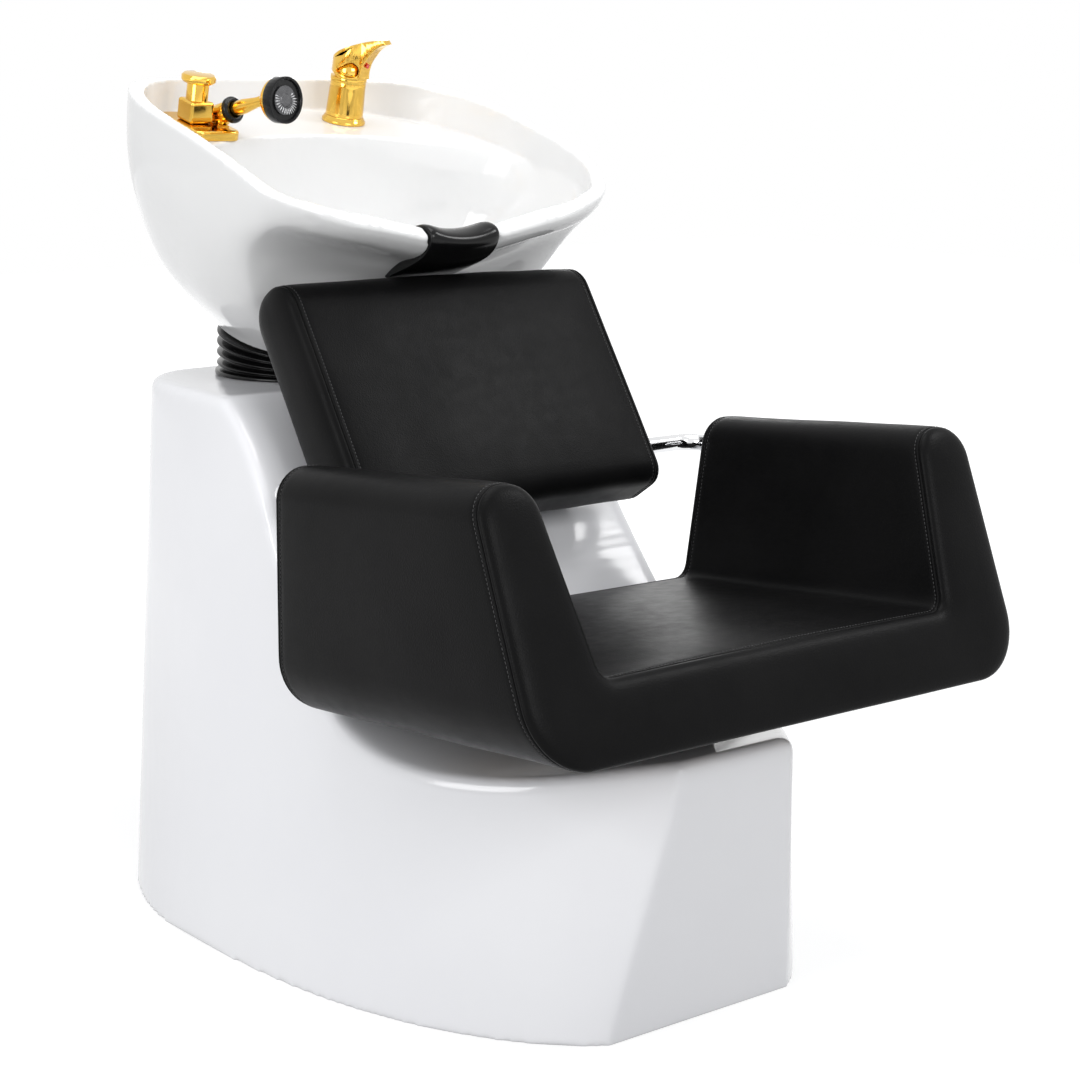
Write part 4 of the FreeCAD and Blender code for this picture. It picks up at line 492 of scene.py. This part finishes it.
def upholstered(name, block, body, material):
    """Skin of an upholstered block, with both ends filled in."""
    rings = block.rings()
    count = len(rings[0])
    bm = bmesh.new()
    rows = [[bm.verts.new(p) for p in ring] for ring in rings]
    for low, high in zip(rows, rows[1:]):
        for i in range(count):
            j = (i + 1) % count
            bm.faces.new((low[i], low[j], high[j], high[i]))
    for row in (rows[0], rows[-1]):
        edges = [bm.edges.get((row[i], row[(i + 1) % count])) for i in range(count)]
        filled = bmesh.ops.triangle_fill(bm, edges=edges, use_beauty=True)
        faces = [f for f in filled["geom"] if isinstance(f, bmesh.types.BMFace)]
        bmesh.ops.join_triangles(bm, faces=faces, angle_face_threshold=JOIN_ANGLE,
                                 angle_shape_threshold=JOIN_ANGLE)
    bmesh.ops.recalc_face_normals(bm, faces=bm.faces)
    data = bpy.data.meshes.new(name)
    bm.to_mesh(data)
    bm.free()
    obj = add_object(name, data, material)
    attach(obj, body)
    return obj


def resampled(loop, step):
    """Points and directions about evenly spaced along a closed line."""
    line = list(loop) + [loop[0]]
    lengths = [(b - a).length for a, b in zip(line, line[1:])]
    total = sum(lengths)
    count = max(3, round(total / step))
    places = []
    k = 0
    passed = 0.0
    for n in range(count):
        at = total * n / count
        while passed + lengths[k] < at:
            passed += lengths[k]
            k += 1
        way = (line[k + 1] - line[k]).normalized()
        places.append((line[k] + way * (at - passed), way))
    return places


def stitches(name, loops, body):
    """Topstitching: short rounded threads end to end along closed lines."""
    vertices = []
    faces = []
    for loop in loops:
        for spot, way in resampled(loop, STITCH_STEP):
            side = way.orthogonal().normalized()
            up = way.cross(side)
            base = len(vertices)
            for reach, wide in THREAD_PROFILE:
                for s in range(THREAD_SIDES):
                    turn = 2 * math.pi * s / THREAD_SIDES
                    across = side * math.cos(turn) + up * math.sin(turn)
                    vertices.append(spot + way * reach * STITCH_LENGTH
                                    + across * THREAD_RADIUS * wide)
            faces += tube_faces(len(THREAD_PROFILE), THREAD_SIDES, base)
            faces.append(tuple(range(base, base + THREAD_SIDES)))
            faces.append(tuple(range(len(vertices) - THREAD_SIDES, len(vertices))))
    obj = mesh_object(name, vertices, faces, THREAD)
    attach(obj, body)


# Seat and arms

SEAT_CORNERS = [(-0.354, 0.0), (0.354, 0.0), (0.354, 0.281), (0.282, 0.281), (0.251, 0.083),
                (-0.251, 0.083), (-0.282, 0.281), (-0.354, 0.281)]
SEAT_RADII = [0.070, 0.070, 0.036, 0.0355, 0.018, 0.018, 0.0355, 0.036]
SEAT_REAR = Vector((0, -0.006, 0.337))
SEAT_STEPS = 22
SEAT_RAKE = 113.0 * 3 / 843.0  # metres that the front plane falls back per metre up
SEAT_RUN, SEAT_RUN_HEIGHT = 0.476, 0.3761  # run of the seat, at this height
SEAT_SWELL, SEAT_HALF = 0.006, 0.235  # between the arms
SITTING_FACE = (0.05, 0.12)  # heights of the outline between which it swells
ARM_SWELL, ARM_OUTSIDE = 0.0025, 0.345  # on the faces further out than this
ARM_MIDDLE, ARM_REACH, ARM_POWER = 0.15, 0.12, 2.5
SEAT_END_POWER = 6
SEAT_WAVES, SEAT_WAVE_DEPTH = (9, 9, 4), 0.0011


def seat_place(p, w):
    """Outline point at w in front of the upright rear plane, along the leaning run."""
    lean = math.tan(SEAT_LEAN)
    up = SEAT_REAR.z + p.y * math.cos(SEAT_LEAN)
    return Vector((p.x, SEAT_REAR.y - w, up + (w + p.y * math.sin(SEAT_LEAN)) * lean))


def seat_length(p):
    """Run of the seat at one outline point, up to its raked front plane."""
    lean = math.tan(SEAT_LEAN)
    base = SEAT_REAR.z + p.y * math.cos(SEAT_LEAN) + p.y * math.sin(SEAT_LEAN) * lean
    return (SEAT_RUN - SEAT_RAKE * (base - SEAT_RUN_HEIGHT)) / (1 + SEAT_RAKE * lean)


def seat_bulge(p, share):
    """Padding: the seat swells between the arms, and the panels fall in near the seams."""
    grow = 0.0
    ends = max(0.0, 1 - abs(2 * share - 1) ** SEAT_END_POWER)
    if abs(p.x) < SEAT_HALF and SITTING_FACE[0] < p.y < SITTING_FACE[1]:
        grow += SEAT_SWELL * (1 - (p.x / SEAT_HALF) ** 2) * ends
    if abs(p.x) > ARM_OUTSIDE:
        grow += ARM_SWELL * max(0.0, 1 - abs((p.y - ARM_MIDDLE) / ARM_REACH) ** ARM_POWER) * ends
    across, up, forward = SEAT_WAVES
    wave = noise.noise(Vector((p.x * across, p.y * up, share * forward)))
    return grow + SEAT_WAVE_DEPTH * wave * ends


def make_seat():
    outline = rounded_outline(SEAT_CORNERS, SEAT_RADII, OUTLINE_STEP)
    block = Upholstery(outline, seat_length, seat_place, seat_bulge, SEAT_STEPS)
    seat = upholstered("seat_cover", block, "root", LEATHER)
    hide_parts("seat_upholstery")
    stitches("seat_stitching", block.seams(), "root")


# Backrest

BACK_HALF = 0.222
BACK_BELLY = 0.007
BACK_FOOT, BACK_TOP = -0.055, 0.259
BACK_CORNERS = [(-0.027, BACK_FOOT), (0.056, BACK_FOOT), (0.056, BACK_TOP), (-0.027, BACK_TOP)]
BACK_RADII = [0.024, 0.024, 0.038, 0.038]
BACK_STEPS = 28
FRONT_SWELL, REAR_SWELL = 0.0095, 0.003
BACK_POWER, BACK_HEIGHT_POWER = 3.2, 0.7
BACK_WAVES, BACK_WAVE_DEPTH = (7, 11, 11), 0.0012


def back_length(_):
    return 2 * (BACK_HALF + BACK_BELLY)


def back_place(p, w):
    return in_back(w - BACK_HALF - BACK_BELLY, p.x, p.y)


def back_bulge(p, share):
    """The front swells in the middle; the rear stays flatter."""
    across = max(0.0, 1 - abs(2 * share - 1) ** BACK_POWER)
    height = (p.y - BACK_FOOT) / (BACK_TOP - BACK_FOOT)
    tall = max(0.0, 1 - abs(2 * height - 1) ** BACK_POWER)
    if p.x < 0.0:
        grow = FRONT_SWELL * across * tall ** BACK_HEIGHT_POWER
    else:
        grow = REAR_SWELL * across * tall
    sideways, up, through = BACK_WAVES
    wave = noise.noise(Vector((share * sideways, p.y * up, p.x * through)))
    return grow + BACK_WAVE_DEPTH * wave * min(1.0, 4 * across)


def make_backrest():
    outline = rounded_outline(BACK_CORNERS, BACK_RADII, OUTLINE_STEP)
    block = Upholstery(outline, back_length, back_place, back_bulge, BACK_STEPS)
    back = upholstered("backrest_cover", block, "backrest", LEATHER)
    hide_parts("backrest_cushion")
    stitches("backrest_stitching", block.seams(), "backrest")


# Bellows between the column and the bowl: shares of its height, and metres out from its oval

BELLOWS_AROUND = 128
BELLOWS_OVAL = (0.143, 0.112)
BELLOWS_INSIDE = (0.138, 0.107)
CUFF = [(0.0, 0.0105), (0.03, 0.0112), (0.085, 0.0112), (0.115, 0.0100), (0.125, 0.0010)]
CUFF_END = 0.125
FOLDS = 4
FOLD = [(0.10, -0.0015), (0.26, 0.0050), (0.42, 0.0088), (0.56, 0.0093), (0.68, 0.0072),
        (0.82, 0.0020), (0.94, -0.0018)]
BELLOWS_TOP = (1.0, -0.0015)


def bellows_ring(low, high, share, oval, out):
    turn = Matrix.Rotation(BOWL_TILT * share, 3, "X")
    centre = low.lerp(high, share)
    ring = []
    for k in range(BELLOWS_AROUND):
        angle = 2 * math.pi * k / BELLOWS_AROUND
        spot = Vector(((oval[0] + out) * math.cos(angle), (oval[1] + out) * math.sin(angle), 0))
        ring.append(centre + turn @ spot)
    return ring


def make_bellows():
    """Ribbed rubber sleeve; its rings turn from level to the plane of the bowl's foot."""
    low = Vector((0, 0.418, 0.6573))
    high = in_bowl(0, 0, 0.0097)
    step = (1 - CUFF_END) / FOLDS
    profile = list(CUFF)
    for fold in range(FOLDS):
        start = CUFF_END + fold * step
        profile += [(start + step * share, out) for share, out in FOLD]
    profile.append(BELLOWS_TOP)
    rings = [bellows_ring(low, high, share, BELLOWS_OVAL, out) for share, out in profile]
    rings += [bellows_ring(low, high, share, BELLOWS_INSIDE, 0) for share in (1.0, 0.0)]
    vertices = [v for ring in rings for v in ring]
    faces = tube_faces(len(rings), BELLOWS_AROUND, closed=True)
    sleeve = mesh_object("bellows_sleeve", vertices, faces, RUBBER)
    subdivide(sleeve, 1)
    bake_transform(sleeve, "root", "bowl", start=tuple(low), end=tuple(high))
    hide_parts("bellows")


# Base: its skin is melted above the foot, whose edge stays crisp

BASE_VOXEL, BASE_PASSES, BASE_MELT = 0.0035, 3, 24
BASE_FOOT = (0.006, 0.030)


def base_weight(point):
    return ease(point.z, *BASE_FOOT)


# Bowl, in its own frame: the lip is drawn back under its crest and the front corners are
# rounder. LIP_TOP is the height of the crest by half width, DRAWN_BACK the shift by depth
# under the crest.

BOWL_VOXEL, BOWL_PASSES, RECESS_MELT, LIP_MELT = 0.0024, 5, 340, 20
BOWL_HALF = 0.276
BOWL_FRONT = 0.262
LIP_TOP = [(0.0, 0.225), (0.05, 0.2257), (0.12, 0.2405), (0.172, 0.2482), (0.205, 0.2553),
           (0.235, 0.2675), (0.260, 0.286), (0.30, 0.30)]
DRAWN_BACK = [(-1.0, 0.0060), (0.0, 0.0060), (0.006, 0.0025), (0.013, 0.0), (0.022, 0.001),
              (0.032, 0.007), (0.042, 0.018), (0.053, 0.031), (0.075, 0.033), (0.110, 0.0),
              (1.0, 0.0)]
DRAWN_FROM, DRAWN_RUN = 0.185, 0.077  # metres in front over which the shift sets in
LIP_SIDES = (0.225, 0.272)  # half widths between which the lip's own shape ends
CREST_DROP, CREST_FROM, CREST_RUN, CREST_DEPTH = 0.0085, 0.240, 0.022, 0.026
SHARP_POWER = 6.0
ROUND_POWER = 5.4
SHAPED_FROM = 0.05  # height over which the bowl is shaped
CORNER_HEIGHTS = (0.06, 0.19)
MIDDLE = 0.2  # share of the oval that keeps its shape
RECESS_DEPTHS, RECESS_FRONTS, RECESS_HEIGHTS = (0.030, 0.060), (0.05, 0.11), (0.010, 0.035)
LIP_FRONTS, LIP_DEPTHS = (0.215, 0.235), (0.045, 0.065)


def lip_depth(x, z):
    """Depth of a point under the crest of the lip."""
    return along(LIP_TOP, abs(x)) - z


def lip_share(x):
    return 1 - ease(abs(x), *LIP_SIDES)


def oval_radius(x, y, power):
    return (abs(x / BOWL_HALF) ** power + abs(y / BOWL_FRONT) ** power) ** (1 / power)


def lip_shift(x, y, z):
    """How far back a point of the front lip goes, by its depth under the crest."""
    reach = held((-DRAWN_FROM - y) / DRAWN_RUN)
    return reach * lip_share(x) * along(DRAWN_BACK, lip_depth(x, z))


def crest_drop(x, y, z):
    """The crest of the lip slopes outwards, as a roll does."""
    out = held((-CREST_FROM - y) / CREST_RUN)
    return CREST_DROP * out * out * lip_share(x) * (1 - ease(lip_depth(x, z), 0.0, CREST_DEPTH))


def recess_weight(point):
    """Underside of the lip, where the hull draws back in one soft sweep."""
    x, y, z = from_bowl(point)
    return (ease(lip_depth(x, z), *RECESS_DEPTHS) * ease(-y, *RECESS_FRONTS)
            * ease(z, *RECESS_HEIGHTS))


def lip_weight(point):
    x, y, z = from_bowl(point)
    return ease(-y, *LIP_FRONTS) * (1 - ease(lip_depth(x, z), *LIP_DEPTHS))


def shape_bowl(data):
    for vertex in data.vertices:
        x, y, z = from_bowl(vertex.co)
        if y > 0 or z < SHAPED_FROM:
            continue
        z -= crest_drop(x, y, z)
        y += lip_shift(x, y, z)
        sharp = oval_radius(x, y, SHARP_POWER)
        if sharp > MIDDLE:
            pull = sharp / oval_radius(x, y, ROUND_POWER)
            pull = 1 + (pull - 1) * ease(z, *CORNER_HEIGHTS)
            x *= pull
            y *= pull
        vertex.co = in_bowl(x, y, z)


# Neck rest: side view of its outer face from inside the bowl over the crest and under the
# lip, then back inside the lip, with how much each point takes of the neck channel and of the
# swelling in front.
REST_FACE = [
    (-0.214, 0.2150, 0.6, 0.0), (-0.226, 0.2235, 1.0, 0.0), (-0.240, 0.2285, 1.0, 0.0),
    (-0.252, 0.2285, 1.0, 0.2), (-0.2610, 0.2245, 0.7, 0.5), (-0.2645, 0.2165, 0.3, 0.8),
    (-0.2635, 0.2070, 0.0, 1.0), (-0.2590, 0.1970, 0.0, 1.0), (-0.2510, 0.1868, 0.0, 1.0),
    (-0.2390, 0.1765, 0.0, 1.0), (-0.2250, 0.1670, 0.0, 0.8), (-0.2090, 0.1570, 0.0, 0.5),
    (-0.1940, 0.1475, 0.0, 0.2), (-0.1820, 0.1400, 0.0, 0.0), (-0.1770, 0.1400, 0.0, 0.0),
]
REST_BACK = [
    (-0.180, 0.1480), (-0.195, 0.1580), (-0.212, 0.1690), (-0.228, 0.1800), (-0.238, 0.1900),
    (-0.243, 0.2000), (-0.240, 0.2060), (-0.228, 0.2070), (-0.216, 0.2060),
]
REST_HALF = 0.0518
REST_SHARES = [-1, -0.985, -0.95, -0.90, -0.82, -0.7, -0.55, -0.4, -0.2, 0,
               0.2, 0.4, 0.55, 0.7, 0.82, 0.90, 0.95, 0.985, 1]
CHANNEL_DEPTH, CHANNEL_HALF, CHANNEL_POWER = 0.0075, 0.044, 2.2
REST_SWELL, SWELL_FORWARD, SWELL_DOWN = 0.0042, 0.8, 0.6
REST_EDGE, REST_EDGE_POWER = 0.0035, 9


def rest_ring(x):
    """Section of the neck rest at x, drawn in towards its ends."""
    share = min(1.0, abs(x) / REST_HALF)
    full = (1 - share ** REST_EDGE_POWER) ** 0.5
    channel = CHANNEL_DEPTH * (1 - min(1.0, abs(x) / CHANNEL_HALF) ** CHANNEL_POWER)
    swell = REST_SWELL * (1 - share ** 2)
    ring = []
    for k, (y, z, dip, out) in enumerate(REST_FACE):
        behind = REST_BACK[-1 - round(k * (len(REST_BACK) - 1) / (len(REST_FACE) - 1))]
        outer = Vector((y - swell * out * SWELL_FORWARD,
                        z - channel * dip - swell * out * SWELL_DOWN))
        edge = outer + (Vector(behind) - outer).normalized() * REST_EDGE * (1 - full)
        ring.append(in_bowl(x, edge.x, edge.y))
    ring += [in_bowl(x, y, z) for y, z in REST_BACK]
    return ring


def make_neck_rest():
    rings = [rest_ring(REST_HALF * share) for share in REST_SHARES]
    count = len(rings[0])
    vertices = [v for ring in rings for v in ring]
    faces = [tuple(range(count)), tuple(range(len(vertices) - count, len(vertices)))]
    faces += tube_faces(len(rings), count)
    pad = mesh_object("neck_pad", vertices, faces, RUBBER)
    subdivide(pad, 2)
    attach(pad, "bowl")
    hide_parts("neck_rest")


# Hand spray: fine radial ribs on its face

SPRAY_WAY = (0.2022, -0.9539, 0.2218)  # the face looks this way
RIBS = 28
RIB_PROFILE = [(0.0110, 0.0003, 0.0), (0.0118, 0.0004, 0.0007), (0.0176, 0.0005, 0.0007),
               (0.0184, 0.0004, 0.0)]  # metres from the middle, half width, rise
RIB_BASE = 0.0012
RIB_THICKNESS = 0.0005


def make_spray_ribs():
    body = NODES["spray_face"].data
    centre = sum((v.co for v in body.vertices), Vector()) / len(body.vertices)
    aim = Vector(SPRAY_WAY).normalized()
    side = aim.orthogonal().normalized()
    up = aim.cross(side)
    vertices = []
    faces = []
    for k in range(RIBS):
        turn = 2 * math.pi * k / RIBS
        way = side * math.cos(turn) + up * math.sin(turn)
        across = aim.cross(way)
        base = len(vertices)
        for reach, wide, rise in RIB_PROFILE:
            for sign in (-1, 1):
                vertices.append(centre + way * reach + across * wide * sign
                                + aim * (RIB_BASE + rise))
        for r in range(len(RIB_PROFILE) - 1):
            a = base + 2 * r
            faces.append((a, a + 1, a + 3, a + 2))
    ribs = mesh_object("spray_ribs", vertices, faces, STEEL)
    thick = ribs.modifiers.new("thick", "SOLIDIFY")
    thick.thickness = RIB_THICKNESS
    apply_modifiers(ribs)
    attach(ribs, "sprayer")


# Floor, light and camera

WHITE = (1, 1, 1, 1)
FLOOR_HALF = 9.0
FLOOR_SHADE = 0.45
FLOOR_GLOW = 0.62  # under the part, growing to 1 between these distances from the middle
GLOW_NEAR, GLOW_FAR = 0.9, 3.2
FILL_COLOUR, FILL_STRENGTH = (0.96, 0.98, 1, 1), 0.52

# Place, aim, width, height and watts
LAMPS = {
    "key_left": ((-3.2, -0.4, 1.5), (0, 0.1, 0.45), 1.4, 1.8, 48),
    "top": ((-0.2, 0.0, 3.3), (0, 0.1, 0.5), 1.6, 2.2, 35),
    "sheen": ((1.85, -1.3, 2.7), (0, 0, 0.6), 0.9, 0.9, 26),
    "front": ((-0.3, -3.3, 2.0), (0, 0, 0.6), 1.6, 1.2, 40),
    "rear": ((1.8, 2.5, 1.25), (0, 0, 0.6), 1.2, 0.8, 8),
}

CAMERA_PLACE = (-1.6773, -2.1144, 1.0404)
CAMERA_TURN, CAMERA_DROP, CAMERA_ROLL = 0.6784, 0.1993, 0.0073
CAMERA_LENS, CAMERA_SENSOR = 76.67, 36


def math_node(tree, operation, first, second, clamp=False):
    node = tree.nodes.new("ShaderNodeMath")
    node.operation = operation
    node.use_clamp = clamp
    link(tree, first, node.inputs[0])
    link(tree, second, node.inputs[1])
    return node.outputs[0]


def seen_rays(tree):
    """1 for rays from the camera, off mirrors and through glass, 0 for all others."""
    path = tree.nodes.new("ShaderNodeLightPath")
    seen = math_node(tree, "ADD", path.outputs["Is Camera Ray"], path.outputs["Is Glossy Ray"],
                     clamp=True)
    return math_node(tree, "ADD", seen, path.outputs["Is Transmission Ray"], clamp=True)


def white_ground(name):
    """Pale ground that reads as white where it is seen, and still takes the shadow."""
    mat = bpy.data.materials.new(name)
    mat.use_nodes = True
    tree = mat.node_tree
    tree.nodes.clear()
    out = tree.nodes.new("ShaderNodeOutputMaterial")
    diffuse = tree.nodes.new("ShaderNodeBsdfDiffuse")
    diffuse.inputs["Color"].default_value = (FLOOR_SHADE, FLOOR_SHADE, FLOOR_SHADE, 1)
    glow = tree.nodes.new("ShaderNodeEmission")
    glow.inputs["Color"].default_value = WHITE
    place = tree.nodes.new("ShaderNodeTexCoord")
    reach = tree.nodes.new("ShaderNodeVectorMath")
    reach.operation = "LENGTH"
    link(tree, place.outputs["Object"], reach.inputs[0])
    level = range_node(tree, reach.outputs["Value"], GLOW_NEAR, GLOW_FAR, FLOOR_GLOW, 1.0)
    level.interpolation_type = "SMOOTHSTEP"
    power = math_node(tree, "MULTIPLY", seen_rays(tree), level.outputs["Result"])
    link(tree, power, glow.inputs["Strength"])
    both = tree.nodes.new("ShaderNodeAddShader")
    link(tree, diffuse.outputs[0], both.inputs[0])
    link(tree, glow.outputs[0], both.inputs[1])
    link(tree, both.outputs[0], out.inputs["Surface"])
    return mat


def make_floor():
    size = FLOOR_HALF
    data = bpy.data.meshes.new("floor")
    data.from_pydata([(-size, -size, 0), (size, -size, 0), (size, size, 0), (-size, size, 0)], [],
                     [(0, 1, 2, 3)])
    data.materials.append(white_ground("floor_white"))
    floor = bpy.data.objects.new("floor", data)
    bpy.context.scene.collection.objects.link(floor)


def background(tree, colour, strength):
    node = tree.nodes.new("ShaderNodeBackground")
    node.inputs["Color"].default_value = colour
    node.inputs["Strength"].default_value = strength
    return node.outputs[0]


def make_world():
    """White where it is seen, and a softer fill for the light that it gives."""
    world = bpy.data.worlds.new("studio")
    bpy.context.scene.world = world
    world.use_nodes = True
    tree = world.node_tree
    tree.nodes.clear()
    out = tree.nodes.new("ShaderNodeOutputWorld")
    mix = tree.nodes.new("ShaderNodeMixShader")
    link(tree, seen_rays(tree), mix.inputs[0])
    link(tree, background(tree, FILL_COLOUR, FILL_STRENGTH), mix.inputs[1])
    link(tree, background(tree, WHITE, 1.0), mix.inputs[2])
    link(tree, mix.outputs[0], out.inputs["Surface"])


def soft_lamp(name, spot, aim, width, height, power):
    lamp = bpy.data.lights.new(name, "AREA")
    lamp.shape = "RECTANGLE"
    lamp.size = width
    lamp.size_y = height
    lamp.energy = power
    obj = bpy.data.objects.new(name, lamp)
    bpy.context.scene.collection.objects.link(obj)
    obj.location = spot
    obj.rotation_euler = (Vector(aim) - Vector(spot)).to_track_quat("-Z", "Y").to_euler()
    obj.visible_camera = False


def make_camera():
    """Camera of the photo: turned from +Y towards +X, looking down, with a slight roll."""
    right = Vector((math.cos(CAMERA_TURN), -math.sin(CAMERA_TURN), 0))
    ahead = Vector((math.sin(CAMERA_TURN) * math.cos(CAMERA_DROP),
                    math.cos(CAMERA_TURN) * math.cos(CAMERA_DROP), -math.sin(CAMERA_DROP)))
    above = right.cross(ahead)
    side = right * math.cos(CAMERA_ROLL) + above * math.sin(CAMERA_ROLL)
    up = -right * math.sin(CAMERA_ROLL) + above * math.cos(CAMERA_ROLL)
    data = bpy.data.cameras.new("camera")
    data.lens = CAMERA_LENS
    data.sensor_width = CAMERA_SENSOR
    camera = bpy.data.objects.new("camera", data)
    bpy.context.scene.collection.objects.link(camera)
    axes = Matrix((side, up, -ahead)).transposed().to_4x4()
    camera.matrix_world = Matrix.Translation(CAMERA_PLACE) @ axes
    bpy.context.scene.camera = camera


# Build

EDGE_WIDTH = 0.0007
EDGED = (
    "mixer_base_ring", "mixer_body", "mixer_dome", "mixer_lever", "breaker_plate",
    "breaker_body", "breaker_cap", "hose_guide", "guide_ring", "spray_handle", "spray_bell",
    "spray_rim", "drain_flange", "arm_end_bracket", "rail_rosettes", "rail_collars",
    "tilt_clevis", "tilt_plate",
)

make_camera()
make_world()
for lamp_name, values in LAMPS.items():
    soft_lamp(lamp_name, *values)
make_floor()
dress_nodes()
skinned("base_shell", BASE_VOXEL, BASE_PASSES, None, [(base_weight, BASE_MELT)])
skinned("bowl", BOWL_VOXEL, BOWL_PASSES, shape_bowl,
        [(recess_weight, RECESS_MELT), (lip_weight, LIP_MELT)])
for node_name in EDGED:
    edged(node_name, EDGE_WIDTH)
make_spray_ribs()
make_seat()
make_backrest()
make_bellows()
make_neck_rest()

bpy.context.scene.view_settings.view_transform = "Standard"
